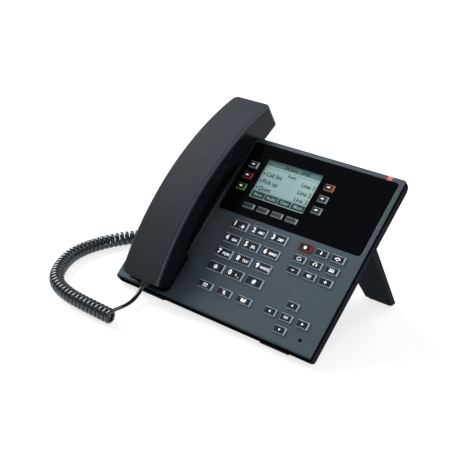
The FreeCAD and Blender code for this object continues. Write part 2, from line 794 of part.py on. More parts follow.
# Keys: a flange under the cover and a bevelled cap through it
def rectangle(body, name, width, height):
    """Sketch of a rectangle about the body's origin."""
    sketch = body.newObject("Sketcher::SketchObject", name)
    plane = [item for item in body.Origin.OriginFeatures if item.Role == "XY_Plane"][0]
    sketch.AttachmentSupport = [(plane, "")]
    sketch.MapMode = "FlatFace"
    corners = [V(-1, -1, 0), V(1, -1, 0), V(1, 1, 0), V(-1, 1, 0)]
    for start, end in zip(corners, corners[1:] + corners[:1]):
        sketch.addGeometry(Part.LineSegment(start, end))
    for side in range(4):
        sketch.addConstraint(Sketcher.Constraint("Coincident", side, 2, (side + 1) % 4, 1))
        level = "Horizontal" if side % 2 == 0 else "Vertical"
        sketch.addConstraint(Sketcher.Constraint(level, side))
    sketch.addConstraint(Sketcher.Constraint("Symmetric", 0, 1, 2, 1, -1, 1))
    wide = sketch.addConstraint(Sketcher.Constraint("DistanceX", 0, 1, 0, 2, 2.0))
    tall = sketch.addConstraint(Sketcher.Constraint("DistanceY", 1, 1, 1, 2, 2.0))
    sketch.setExpression("Constraints[%d]" % wide, bound(width))
    sketch.setExpression("Constraints[%d]" % tall, bound(height))
    return sketch


def pad(body, name, sketch, length):
    feature = body.newObject("PartDesign::Pad", name)
    feature.Profile = sketch
    feature.setExpression("Length", bound(length))
    return feature


def make_keys():
    caps = {}
    for name, (x, y, kind, ceiling) in KEYS.items():
        body = doc.addObject("PartDesign::Body", name)
        lip = "2 * (key_gap + flange_lip)"
        outline = rectangle(body, name + "_flange", kind + "_width + " + lip, kind + "_height + " + lip)
        pad(body, name + "_base", outline, "flange_height")
        top = rectangle(body, name + "_cap", kind + "_width", kind + "_height")
        caps[name] = pad(body, name + "_stem", top, "flange_height - (%s) + key_rise" % ceiling)
        body.Placement.Base = V(number(x), number(y), number(ceiling) - size["flange_height"])
        piece(name, body)
    doc.recompute()
    for name, cap in caps.items():
        high = cap.Shape.BoundBox.ZMax
        rim = [
            "Edge%d" % index
            for index, edge in enumerate(cap.Shape.Edges, start=1)
            if edge.BoundBox.ZMin > high - 0.01
        ]
        bevel = pieces[name].newObject("PartDesign::Chamfer", name + "_bevel")
        bevel.Base = (cap, rim)
        bevel.setExpression("Size", bound("key_bevel"))


# Stand: a panel with two legs that hangs from the lugs on its own pins and folds forward
def outline_sketch(body, name, role, points):
    """Sketch of a closed run of straight lines on one of the body's planes."""
    sketch = body.newObject("Sketcher::SketchObject", name)
    plane = [item for item in body.Origin.OriginFeatures if item.Role == role][0]
    sketch.AttachmentSupport = [(plane, "")]
    sketch.MapMode = "FlatFace"
    corners = [V(x, y, 0) for x, y in points]
    for start, end in zip(corners, corners[1:] + corners[:1]):
        sketch.addGeometry(Part.LineSegment(start, end))
    for side in range(len(corners)):
        sketch.addConstraint(Sketcher.Constraint("Coincident", side, 2, (side + 1) % len(corners), 1))
    return sketch


def circle_sketch(body, name, role, radius):
    sketch = body.newObject("Sketcher::SketchObject", name)
    plane = [item for item in body.Origin.OriginFeatures if item.Role == role][0]
    sketch.AttachmentSupport = [(plane, "")]
    sketch.MapMode = "FlatFace"
    sketch.addGeometry(Part.Circle(V(0, 0, 0), V(0, 0, 1), 1.0))
    sketch.addConstraint(Sketcher.Constraint("Coincident", 0, 3, -1, 1))
    wide = sketch.addConstraint(Sketcher.Constraint("Radius", 0, 1.0))
    sketch.setExpression("Constraints[%d]" % wide, bound(radius))
    return sketch


def through_pocket(body, name, sketch):
    feature = body.newObject("PartDesign::Pocket", name)
    feature.Profile = sketch
    feature.Type = "ThroughAll"
    feature.Midplane = True
    return feature


def stand_edges(shape, half):
    """Names of the long edges down the outer sides of the legs."""
    names = []
    for index, edge in enumerate(shape.Edges, start=1):
        low = edge.BoundBox
        outer = abs(abs(low.Center.x) - half) < 0.01 and low.XLength < 0.01
        if outer and low.ZLength > size["crossbar_height"]:
            names.append("Edge%d" % index)
    return names


def make_stand():
    body = doc.addObject("PartDesign::Body", "stand")
    lean = math.radians(size["stand_lean"])
    half_top = size["stand_thickness"] / 2
    half_foot = size["stand_foot_thickness"] / 2
    drop = size["hinge_height"] - size["foot_pad"]
    front_foot = (-drop + half_foot * math.sin(lean)) / math.cos(lean)
    back_foot = (-drop - half_foot * math.sin(lean)) / math.cos(lean)
    rise = size["shoulder_rise"]
    side = [(-half_foot, front_foot), (half_foot, back_foot), (half_top, 0)]
    side += [(half_top, rise), (-half_top, rise), (-half_top, 0)]
    profile = outline_sketch(body, "stand_side", "YZ_Plane", side)
    pad(body, "stand_panel", profile, "slab_width - 2 * stand_inset").Midplane = True
    inner = (size["step_right"] - size["step_left"]) / 2 + size["stand_gap"]
    above = [(-inner, 0), (inner, 0), (inner, FAR), (-inner, FAR)]
    through_pocket(body, "stand_shoulders", outline_sketch(body, "stand_above", "XZ_Plane", above))
    barrel = circle_sketch(body, "stand_barrel", "YZ_Plane", "stand_thickness / 2")
    pad(body, "stand_knuckle", barrel, "step_right - step_left + 2 * stand_gap").Midplane = True
    for count, sign in enumerate((-1, 1)):
        x = sign * size["lug_spread"]
        half = size["lug_width"] / 2 + size["lug_gap"]
        deep = size["hinge_pin_radius"] + size["lug_wall"] + size["lug_gap"]
        corners = [(x - half, -deep), (x + half, -deep), (x + half, FAR), (x - half, FAR)]
        slot = outline_sketch(body, "stand_lug_%d" % count, "XZ_Plane", corners)
        through_pocket(body, "stand_slot_%d" % count, slot)
    pin = circle_sketch(body, "stand_pin", "YZ_Plane", "hinge_pin_radius")
    pad(body, "stand_axle", pin, "2 * lug_spread + 2 * lug_width").Midplane = True
    foot = size["slab_width"] / 2 - size["stand_inset"] - size["leg_width"]
    head = foot - size["leg_flare"]
    low = back_foot - PAST
    high = -size["crossbar_height"]
    legs = [(-foot, low), (foot, low), (head, high), (-head, high)]
    gap = through_pocket(body, "stand_legs", outline_sketch(body, "stand_gap_outline", "XZ_Plane", legs))
    doc.recompute()
    bevel = body.newObject("PartDesign::Chamfer", "stand_bevels")
    bevel.Base = (gap, stand_edges(gap.Shape, size["slab_width"] / 2 - size["stand_inset"]))
    bevel.setExpression("Size", bound("stand_bevel"))
    turn = FreeCAD.Rotation(V(1, 0, 0), size["stand_lean"] - size["tilt_angle"])
    body.Placement = FreeCAD.Placement(V(size["slab_middle"], size["hinge_y"], size["hinge_z"]), turn)
    piece("stand", body)


# Feet, level with the desk
def on_desk(x, level_y, height):
    """Point on the drawing face that ends up at a level distance and a height over the desk."""
    tilt = math.radians(size["tilt_angle"])
    rise = size["desk"] + height
    along = level_y * math.cos(tilt) + rise * math.sin(tilt)
    return V(x, along, rise * math.cos(tilt) - level_y * math.sin(tilt))


def level_of(y, z):
    """Level distance of a point on the drawing face."""
    tilt = math.radians(size["tilt_angle"])
    return y * math.cos(tilt) - z * math.sin(tilt)


def make_front_feet():
    inset = size["front_radius"]
    lowest = level_of(size["slab_front"] + inset, inset - size["slab_thickness"])
    start = on_desk(0, lowest - PAST, 0)
    block = ("foot_length", "foot_length", start.y, start.z, "-tilt_angle")
    pads = []
    for count, side in enumerate((-1, 1)):
        across = about("slab_middle + foot_spread * (%d)" % side, "foot_width")
        pads.append(leaning_box("foot_block_%d" % count, across, *block))
    piece("front_feet", cut("front_feet", joined("foot_blocks", pads), [slab_envelope("foot_envelope")]))


def make_stand_feet():
    lean = math.radians(size["stand_lean"])
    reach = (size["hinge_height"] - size["foot_pad"] / 2) * math.tan(lean)
    middle = level_of(size["hinge_y"], size["hinge_z"]) + reach
    length = size["stand_foot_thickness"] / math.cos(lean) - size["foot_pad"]
    start = on_desk(0, middle - length / 2, 0)
    block = (length, "foot_pad", start.y, start.z, "-tilt_angle")
    pads = []
    for count, side in enumerate((-1, 1)):
        x = "slab_middle + (slab_width / 2 - stand_inset - leg_width / 2) * (%d)" % side
        across = about(x, "leg_width - 4 * foot_pad")
        pads.append(leaning_box("stand_pad_%d" % count, across, *block))
    piece("stand_feet", joined("stand_feet", pads))


# Lines joined by tangent arcs, for the handset's plan and for the cord
def tangent_edges(points, radii, closed):
    """Edges through points, each corner rounded by its radius; radii has one entry for each corner."""
    count = len(points)
    corners = range(count) if closed else range(1, count - 1)
    arcs = {}
    for spot, radius in zip(corners, radii):
        back = (points[spot - 1] - points[spot]).normalize()
        onward = (points[(spot + 1) % count] - points[spot]).normalize()
        turn = math.pi - back.getAngle(onward)
        reach = radius * math.tan(turn / 2)
        middle = (back + onward).normalize() * (radius / math.cos(turn / 2) - radius)
        arcs[spot] = (points[spot] + back * reach, points[spot] + middle, points[spot] + onward * reach)
    edges = []
    for spot in range(count if closed else count - 1):
        follow = (spot + 1) % count
        if spot in arcs:
            edges.append(Part.Arc(*arcs[spot]).toShape())
        start = arcs[spot][2] if spot in arcs else points[spot]
        end = arcs[follow][0] if follow in arcs else points[follow]
        edges.append(Part.LineSegment(start, end).toShape())
    return edges


# Handset: two moulded shells that meet along an arched parting line, with a cup at each end
def ear_floor(y):
    """Underside of the ear cup, which lies on the inclined well."""
    slope = math.tan(math.radians(size["ear_slope"]))
    return -size["ear_well_depth"] + size["rest_gap"] - (y - size["ear_well_front"]) * slope


def handset_arc():
    front = V(0, size["handset_front"], size["handset_mouth_top"])
    crown = V(0, size["handset_crown_y"], size["handset_crown"])
    back = V(0, size["handset_back"], size["handset_ear_top"])
    return Part.Arc(front, crown, back).toShape().Curve


def arch_point(y, inset):
    arc = handset_arc()
    radius = arc.Radius - inset
    return V(0, y, arc.Center.z + math.sqrt(radius ** 2 - (y - arc.Center.y) ** 2))


def handset_side(inset):
    """Side profile between the arched back and the cups, drawn past both ends."""
    front = size["handset_front"] - FAR / 4
    back = size["handset_back"] + FAR / 4
    low = size["mouth_bottom"]
    spring = size["arch_spring"]
    arch = [
        V(0, size["ear_cup_front"] - size["cup_lean"], spring),
        V(0, size["handset_crown_y"], size["handset_crown"] - size["handset_grip"]),
        V(0, size["mouth_cup_back"] + size["cup_lean"], spring),
    ]
    cup = size["ear_cup_front"]
    head = [arch_point(back, 0), V(0, back, ear_floor(back)), V(0, cup, ear_floor(cup)), arch[0]]
    tail = [arch[2], V(0, size["mouth_cup_back"], low), V(0, front, low), arch_point(front, 0)]
    crown = arch_point(size["handset_crown_y"], 0)
    edges = [Part.Arc(arch_point(front, 0), crown, arch_point(back, 0)).toShape()]
    edges += [Part.LineSegment(start, end).toShape() for start, end in zip(head, head[1:])]
    edges.append(Part.Arc(*arch).toShape())
    edges += [Part.LineSegment(start, end).toShape() for start, end in zip(tail, tail[1:])]
    wire = Part.Wire(Part.__sortEdges__(edges))
    if inset:
        wire = wire.makeOffset2D(-inset)
    width = size["handset_mouth_width"]
    return Part.Face(wire).extrude(V(width * 2, 0, 0)).translated(V(size["cradle_x"] - width, 0, 0))


def mouth_end(level):
    """Place of the leaning lower end at a height."""
    share = (size["handset_mouth_top"] - level) / (size["handset_mouth_top"] - size["mouth_bottom"])
    return size["handset_front"] + size["mouth_end_lean"] * share


def handset_plan(inset):
    """Tapered plan with round corners and leaning ends, drawn in towards the bottom."""
    ear_bottom = ear_floor(size["handset_back"])
    low = ear_bottom - size["handset_wall"]
    high = size["handset_crown"] + size["handset_wall"]
    middle = size["cradle_x"]
    wires = []
    for level in (low, high):
        narrow = size["handset_draft"] * (high - level) / (high - low) + inset
        ear_share = (size["handset_ear_top"] - level) / (size["handset_ear_top"] - ear_bottom)
        front = mouth_end(level) + inset
        back = size["handset_back"] - size["ear_end_lean"] * ear_share - inset
        wide = size["handset_mouth_width"] / 2 - narrow
        slim = size["handset_ear_width"] / 2 - narrow
        points = [V(middle - wide, front, level), V(middle + wide, front, level)]
        points += [V(middle + slim, back, level), V(middle - slim, back, level)]
        radius = size["handset_corner"] - inset
        wires.append(Part.Wire(tangent_edges(points, [radius] * 4, True)))
    return Part.makeLoft(wires, True, True)


def under_parting():
    """Everything below the arched parting line."""
    arc = handset_arc()
    width = size["handset_mouth_width"]
    start = V(size["cradle_x"] - width, arc.Center.y, arc.Center.z)
    return Part.makeCylinder(arc.Radius - size["handset_parting"], 2 * width, start, V(1, 0, 0))


def handset_jack():
    """Middle of the socket's mouth in the lower end of the handset."""
    return V(size["cradle_x"], mouth_end(size["handset_jack_z"]), size["handset_jack_z"])


def block_about(middle, width, height, start, end):
    """Block along y about a middle line."""
    corner = V(middle.x - width / 2, start, middle.z - height / 2)
    return Part.makeBox(width, end - start, height, corner)


def make_handset():
    side = handset_side(0)
    springs = [
        edge
        for edge in side.Edges
        if runs_along("x")(edge) and abs(edge.CenterOfMass.z - size["arch_spring"]) < 0.01
    ]
    side = side.makeFillet(size["arch_blend"], springs)
    solid = side.common(handset_plan(0))
    arc = handset_arc()
    crest = []
    for edge in solid.Edges:
        middle = edge.valueAt((edge.FirstParameter + edge.LastParameter) / 2)
        radius = math.hypot(middle.y - arc.Center.y, middle.z - arc.Center.z)
        if abs(radius - arc.Radius) < 0.05:
            crest.append(edge)
    outer = solid.makeFillet(size["handset_edge"], crest)
    cavity = handset_side(size["handset_wall"]).common(handset_plan(size["handset_wall"]))
    hollow = outer.cut(cavity)
    lower = under_parting()

    top = doc.addObject("Part::Feature", "handset_top_shell")
    top.Shape = hollow.cut(lower)
    piece("handset_top_shell", top)

    jack = handset_jack()
    frame_width = size["modular_width"] + 2 * size["modular_wall"]
    frame_height = size["modular_height"] + 2 * size["modular_wall"]
    depth = size["modular_depth"]
    frame = block_about(jack, frame_width, frame_height, jack.y - FAR, jack.y + depth + size["modular_wall"])
    shell = hollow.common(lower).fuse(frame.common(solid).common(lower))
    socket = block_about(jack, size["modular_width"], size["modular_height"], jack.y - FAR, jack.y + depth)
    shell = shell.cut(socket)
    slope = math.radians(size["ear_slope"])
    normal = V(0, math.sin(slope), math.cos(slope))
    along = V(0, math.cos(slope), -math.sin(slope))
    centre = V(size["cradle_x"], size["receiver_y"], ear_floor(size["receiver_y"]))
    spots = [centre]
    for count in range(6):
        angle = count * math.pi / 3
        outward = V(1, 0, 0) * math.cos(angle) + along * math.sin(angle)
        spots.append(centre + outward * size["receiver_ring"])
    for spot in spots:
        through = size["handset_wall"] + 2 * PAST
        shell = shell.cut(Part.makeCylinder(size["receiver_hole"], through, spot - normal * PAST, normal))
    mic = V(size["cradle_x"], size["capsule_y"], size["mouth_bottom"] - PAST)
    shell = shell.cut(Part.makeCylinder(size["mic_radius"], size["handset_wall"] + 2 * PAST, mic))
    bottom = doc.addObject("Part::Feature", "handset_bottom_shell")
    bottom.Shape = shell.removeSplitter()
    piece("handset_bottom_shell", bottom)

    seat = centre + normal * size["handset_wall"]
    receiver = Part.makeCylinder(size["receiver_radius"], size["receiver_height"], seat, normal)
    mic_seat = V(size["cradle_x"], size["capsule_y"], size["mouth_bottom"] + size["handset_wall"])
    capsule = Part.makeCylinder(size["capsule_radius"], size["capsule_height"], mic_seat)
    capsules = doc.addObject("Part::Feature", "handset_capsules")
    capsules.Shape = Part.makeCompound([receiver, capsule])
    piece("handset_capsules", capsules)

    gap = size["plug_gap"]
    wide = size["modular_width"] - 2 * gap
    tall = size["modular_height"] - 2 * gap
    body = block_about(jack, wide, tall, jack.y, jack.y + depth)
    neck = block_about(jack, size["plug_neck"], size["plug_neck"], jack.y - size["plug_stub"], jack.y)
    plug = doc.addObject("Part::Feature", "handset_plug")
    plug.Shape = body.fuse(neck).removeSplitter()
    piece("handset_plug", plug)


make_top_cover()
make_bottom_cover()
make_window()
make_display()
make_message_light()
make_board()
make_keypad_mat()
make_loudspeaker()
make_hook_switch()
make_screws()
make_rear_jacks()
make_cord_jacks()
make_base_plug()
make_keys()
make_stand()
make_front_feet()
make_stand_feet()
make_handset()
doc.recompute()


# Level frame: the phone is tilted, and its origin is under the middle of its outline, on the desk
def frame_shift():
    tilt = FreeCAD.Placement(V(), FreeCAD.Rotation(V(1, 0, 0), size["tilt_angle"]))
    around = FreeCAD.BoundBox()
    for node, thing in pieces.items():
        if node not in CORD_PIECES:
            shape = thing.Shape.copy()
            shape.Placement = tilt.multiply(shape.Placement)
            around.add(shape.optimalBoundingBox())
    return V(-around.Center.x, -around.Center.y, -size["desk"])


CORD_PIECES = ("handset_plug", "base_plug", "handset_cord")
shift = frame_shift()
level = FreeCAD.Placement(shift, FreeCAD.Rotation(V(1, 0, 0), size["tilt_angle"]))


# Handset cord: curls that lie on the desk, with a straight tail to the handset and one to the base
# The route is given from the middle dial key's place on the desk
COIL_ROUTE = [(-68.5, -119), (-98.8, -118.3), (-127, -116), (-154.2, -105.5), (-171.8, -84.8)]
COIL_ROUTE += [(-181.4, -55), (-175.9, -23.2), (-163, 0.7), (-154, 14), (-151, 26)]
HANDSET_TAIL = [(-79.3, -84.8, 5.5), (-77.2, -97, 7.5)]
BASE_TAIL = [(-130.5, 27, 9), (-126, 31.5, 21), (-126, 37, 37), (-128, 42, 54), (-127.5, 46.5, 70)]
COIL_LEAD = 11.5
PLUG_LEAD = 8.0
BASE_LEAD = 11.0
CORD_SIDES = 5
DESK_GAP = 0.05


def half_turns():
    """Points and directions at the top and bottom of every curl along the route."""
    radius = size["curl_radius"]
    height = radius + size["cord_diameter"] / 2 + DESK_GAP
    spine = Part.BSplineCurve()
    spine.interpolate([V(x, y, height) for x, y in COIL_ROUTE])
    edge = spine.toShape()
    count = 2 * round(edge.Length / size["curl_pitch"]) + 1
    stations = edge.discretize(Number=count + 1)
    up = V(0, 0, 1)
    points = []
    directions = []
    for spot, station in enumerate(stations):
        axis = edge.tangentAt(edge.Curve.parameter(station)).normalize()
        sign = 1 if spot % 2 == 0 else -1
        points.append(station + up * radius * sign)
        pitch = edge.Length / count * 2
        directions.append((up.cross(axis) * radius * sign + axis * pitch / (2 * math.pi)).normalize())
    return points, directions


def biarc(start, heading, end, ending):
    """Two tangent arcs between two points with given directions."""
    chord = end - start
    both = heading + ending
    share = 2 * (1 - heading.dot(ending))
    lean = chord.dot(both)
    reach = (-lean + math.sqrt(lean ** 2 + share * chord.dot(chord))) / share
    first = start + heading * reach
    second = end - ending * reach
    joint = (first + second) * 0.5
    arcs = []
    for begin, corner, finish in ((start, first, joint), (joint, second, end)):
        inward = (begin - corner).normalize()
        onward = (finish - corner).normalize()
        turn = math.pi - inward.getAngle(onward)
        radius = reach / math.tan(turn / 2)
        middle = corner + (inward + onward).normalize() * (radius / math.cos(turn / 2) - radius)
        arcs.append(Part.Arc(begin, middle, finish).toShape())
    return arcs


def tail_edges(points):
    """Straight runs with the largest even arc at each corner."""
    radii = []
    for before, corner, after in zip(points, points[1:], points[2:]):
        turn = (corner - before).getAngle(after - corner)
        shorter = min((corner - before).Length, (after - corner).Length)
        radii.append(0.45 * shorter / math.tan(turn / 2))
    print("cord tail radii", [round(radius, 1) for radius in radii])
    return tangent_edges(points, radii, False)


def tilted(point):
    """Place over the desk of a point on the drawing face."""
    tilt = FreeCAD.Rotation(V(1, 0, 0), size["tilt_angle"])
    return tilt.multVec(point) - V(0, 0, size["desk"])


def least_gap(edges):
    """Least distance between the cord's surface and itself."""
    points = []
    for edge in edges:
        points += edge.discretize(Number=max(3, int(edge.Length / 1.2)))[:-1]
    reach = int(size["cord_diameter"] * 4)
    least = FAR
    for spot, point in enumerate(points):
        for other in points[spot + reach:spot + 20 * reach]:
            least = min(least, point.distanceToPoint(other))
    return least - size["cord_diameter"]


def make_cord():
    points, directions = half_turns()
    jack = handset_jack()
    leave = tilted(jack - V(0, size["plug_stub"], 0))
    away = tilted(jack - V(0, size["plug_stub"] + PLUG_LEAD, 0))
    start = points[0] - directions[0] * COIL_LEAD
    edges = tail_edges([leave, away] + [V(*point) for point in HANDSET_TAIL] + [start, points[0]])
    for spot in range(len(points) - 1):
        edges += biarc(points[spot], directions[spot], points[spot + 1], directions[spot + 1])
    arrive = tilted(V(size["pod_left"] - size["plug_stub"], size["modular_y"], size["modular_z"]))
    end = points[-1] + directions[-1] * COIL_LEAD
    near = arrive - V(BASE_LEAD, 0, 0)
    edges += tail_edges([points[-1], end] + [V(*point) for point in BASE_TAIL] + [near, arrive])
    path = Part.Wire(edges)
    heading = (away - leave).normalize()
    across = V(1, 0, 0)
    beside = heading.cross(across)
    half = size["cord_diameter"] / 2
    corners = []
    for count in range(CORD_SIDES):
        angle = 2 * math.pi * count / CORD_SIDES
        corners.append(leave + across * half * math.cos(angle) + beside * half * math.sin(angle))
    section = Part.makePolygon(corners + corners[:1])
    tube = path.makePipeShell([section], True, False)
    area = Part.Face(section).Area
    print("cord length", round(path.Length, 1), "curls", (len(points) - 1) / 2)
    print("cord volume over section times length", round(tube.Volume / (area * path.Length), 4))
    print("least gap of the cord to itself", round(least_gap(edges), 2))
    cord = doc.addObject("Part::Feature", "handset_cord")
    cord.Shape = tube
    cord.Placement = FreeCAD.Placement(V(shift.x, shift.y, 0), FreeCAD.Rotation())
    piece("handset_cord", cord)


for thing in pieces.values():
    thing.Placement = level.multiply(thing.Placement)
make_cord()
doc.recompute()

# Every object has to be sound before anything is written
for item in doc.Objects:
    if "Invalid" in item.State or "Error" in item.State:
        raise RuntimeError("%s is not sound: %s" % (item.Label, item.State))
for node, thing in pieces.items():
    if thing.Shape.isNull() or not thing.Shape.isValid():
        raise RuntimeError("%s has no valid shape" % node)
os.makedirs("parts", exist_ok=True)
for node, thing in pieces.items():
    thing.Shape.exportStep("parts/%s.step" % node)
print("shift", [round(entry, 3) for entry in shift], "pieces", len(pieces))
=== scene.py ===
# Looks of the desk phone: materials, key legends, display, curly cord, studio and camera.
import math

import bmesh
import bpy
from mathutils import Matrix, Vector


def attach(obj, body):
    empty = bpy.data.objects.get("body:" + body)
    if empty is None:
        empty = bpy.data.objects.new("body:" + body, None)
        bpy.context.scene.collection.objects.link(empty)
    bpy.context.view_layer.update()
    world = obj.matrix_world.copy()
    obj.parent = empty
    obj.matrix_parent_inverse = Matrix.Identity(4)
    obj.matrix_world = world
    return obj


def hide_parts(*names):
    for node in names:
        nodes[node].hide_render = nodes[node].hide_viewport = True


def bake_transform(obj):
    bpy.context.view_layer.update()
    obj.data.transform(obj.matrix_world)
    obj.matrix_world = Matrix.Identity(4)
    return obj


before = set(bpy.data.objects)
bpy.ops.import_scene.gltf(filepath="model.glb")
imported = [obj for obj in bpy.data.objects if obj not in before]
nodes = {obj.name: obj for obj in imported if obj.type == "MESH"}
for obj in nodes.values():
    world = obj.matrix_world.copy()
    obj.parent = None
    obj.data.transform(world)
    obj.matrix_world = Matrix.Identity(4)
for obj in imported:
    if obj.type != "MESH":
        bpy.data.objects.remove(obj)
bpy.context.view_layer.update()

scene = bpy.context.scene
MM = 0.001
UP = Vector((0, 0, 1))

# Sloped face: x to the right, y up the slope and z out of the face, in millimetres
# from the middle key of the first dial row
SHIFT = (5.7, -13.047, 64.961)
TILT = math.radians(40.0)
FACE = Matrix.Translation(Vector(SHIFT) * MM) @ Matrix.Rotation(TILT, 4, "X") @ Matrix.Scale(MM, 4)
FACE_NORMAL = (0.0, -math.sin(TILT), math.cos(TILT))


def face_point(x, y, z):
    return FACE @ Vector((x, y, z))


def add_object(name, data):
    """New object in the scene."""
    item = bpy.data.objects.new(name, data)
    scene.collection.objects.link(item)
    return item


# Shader helpers, in which a source is a node's output or a plain value
def put(tree, source, socket):
    """Link a socket to a node's output, or set it to a plain value."""
    if isinstance(source, bpy.types.NodeSocket):
        tree.links.new(source, socket)
    else:
        socket.default_value = source


def calculate(tree, operation, *sources):
    """Result of one operation on numbers."""
    node = tree.nodes.new("ShaderNodeMath")
    node.operation = operation
    for source, socket in zip(sources, node.inputs):
        put(tree, source, socket)
    return node.outputs["Value"]


def map_range(tree, source, start, stop, low, high):
    """Goes from low to high while the source goes from start to stop."""
    node = tree.nodes.new("ShaderNodeMapRange")
    node.inputs["From Min"].default_value = start
    node.inputs["From Max"].default_value = stop
    node.inputs["To Min"].default_value = low
    node.inputs["To Max"].default_value = high
    tree.links.new(source, node.inputs["Value"])
    return node.outputs["Result"]


def dot(tree, first, second):
    """How far two directions agree, from 1 for the same one to -1."""
    node = tree.nodes.new("ShaderNodeVectorMath")
    node.operation = "DOT_PRODUCT"
    put(tree, first, node.inputs[0])
    put(tree, second, node.inputs[1])
    return node.outputs["Value"]


def scaled(tree, colour, factor):
    """A colour times a factor."""
    node = tree.nodes.new("ShaderNodeVectorMath")
    node.operation = "SCALE"
    tree.links.new(colour, node.inputs["Vector"])
    tree.links.new(factor, node.inputs["Scale"])
    return node.outputs["Vector"]


def separate(tree, vector):
    """The parts of a vector, by the names X, Y and Z."""
    node = tree.nodes.new("ShaderNodeSeparateXYZ")
    tree.links.new(vector, node.inputs["Vector"])
    return node.outputs


def mix_colours(tree, share, first, second, blend="MIX"):
    """Goes from the first colour to its blend with the second as the share goes from 0 to 1."""
    node = tree.nodes.new("ShaderNodeMix")
    node.data_type = "RGBA"
    node.blend_type = blend
    for source, name in ((share, "Factor"), (first, "A"), (second, "B")):
        put(tree, source, node.inputs[name])
    return node.outputs["Result"]


def noise(tree, scale, detail=2.0, rough=0.55):
    """Noise in object space, so that the grain has a real size."""
    where = tree.nodes.new("ShaderNodeTexCoord")
    node = tree.nodes.new("ShaderNodeTexNoise")
    node.inputs["Scale"].default_value = scale
    node.inputs["Detail"].default_value = detail
    node.inputs["Roughness"].default_value = rough
    tree.links.new(where.outputs["Object"], node.inputs["Vector"])
    return node.outputs["Fac"]


# Values of a noise between which a colour and a roughness go from one end to the other
TINT_ENDS = (0.35, 0.65)
SHEEN_ENDS = (0.3, 0.7)


def ramp(tree, source, low, high):
    """Goes from one colour to another with a noise."""
    node = tree.nodes.new("ShaderNodeValToRGB")
    for element, position, colour in zip(node.color_ramp.elements, TINT_ENDS, (low, high)):
        element.position = position
        element.color = (*colour, 1.0)
    tree.links.new(source, node.inputs["Fac"])
    return node.outputs["Color"]


def shade(colour, factor):
    return tuple(channel * factor for channel in colour)


def cloudy(tree, source, colour, vary=0.1):
    """A colour that gets a little darker and paler with a noise."""
    return ramp(tree, source, shade(colour, 1.0 - vary), shade(colour, 1.0 + vary))


def vary_sheen(tree, shader, source, low, high):
    """The shader's roughness varies with a noise."""
    tree.links.new(map_range(tree, source, *SHEEN_ENDS, low, high), shader.inputs["Roughness"])


def add_bump(tree, shader, source, strength, distance):
    node = tree.nodes.new("ShaderNodeBump")
    node.inputs["Strength"].default_value = strength
    node.inputs["Distance"].default_value = distance
    tree.links.new(source, node.inputs["Height"])
    tree.links.new(node.outputs["Normal"], shader.inputs["Normal"])
    return node


def colour_of(shader):
    """The output that gives the shader its colour."""
    return shader.inputs["Base Color"].links[0].from_socket


def scale_colour(tree, shader, factor):
    """The shader's colour is multiplied by a factor."""
    tree.links.new(scaled(tree, colour_of(shader), factor), shader.inputs["Base Color"])


def round_edges(tree, shader, bump, radius, painted_highlight):
    """Edges catch the light as if they were rounded, and get a painted highlight that makes them a
    little paler than the faces.
    """
    rounded = tree.nodes.new("ShaderNodeBevel")
    rounded.samples = 6
    rounded.inputs["Radius"].default_value = radius
    tree.links.new(rounded.outputs["Normal"], bump.inputs["Normal"])
    face = tree.nodes.new("ShaderNodeNewGeometry")
    along = dot(tree, rounded.outputs["Normal"], face.outputs["Normal"])
    share = map_range(tree, along, start=0.80, stop=0.97, low=painted_highlight, high=1.0)
    scale_colour(tree, shader, share)


def shader_of(material):
    """A material's node tree and its shader."""
    tree = material.node_tree
    return tree, tree.nodes["Principled BSDF"]


def new_material(name):
    material = bpy.data.materials.new(name)
    material.use_nodes = True
    return material, *shader_of(material)


# Moulded plastic: how far its roughness goes below and above the given one, the depth of its grain
# and the tint of its sheen
ROUGH_BELOW = 0.05
ROUGH_ABOVE = 0.07
GRAIN_DEPTH = 0.06 * MM
SHEEN_TINT = (0.80, 0.91, 1.0, 1.0)


def moulded(
    name, colour, rough, grain=2600.0, bump=0.12, vary=0.1, specular=0.5, edge=0.0, painted_highlight=1.0
):
    """Moulded plastic: fine spark-eroded grain, faint cloudiness and a sheen that varies a little.

    Its edges are rounded with a radius in metres, and get a painted highlight that makes them paler
    than the faces by a factor.
    """
    material, tree, shader = new_material(name)
    cloud = noise(tree, scale=260.0, detail=5.0, rough=0.7)
    tree.links.new(cloudy(tree, cloud, colour, vary), shader.inputs["Base Color"])
    fine = noise(tree, scale=grain)
    vary_sheen(tree, shader, fine, rough - ROUGH_BELOW, rough + ROUGH_ABOVE)
    relief = add_bump(tree, shader, fine, bump, GRAIN_DEPTH)
    if edge:
        round_edges(tree, shader, relief, edge, painted_highlight)
    shader.inputs["Specular IOR Level"].default_value = specular
    shader.inputs["Specular Tint"].default_value = SHEEN_TINT
    return material


# A key's top is where the surface turns this far towards the normal of the face
TOP_TURN = 0.98
BLACK = (0.0, 0.0, 0.0, 1.0)


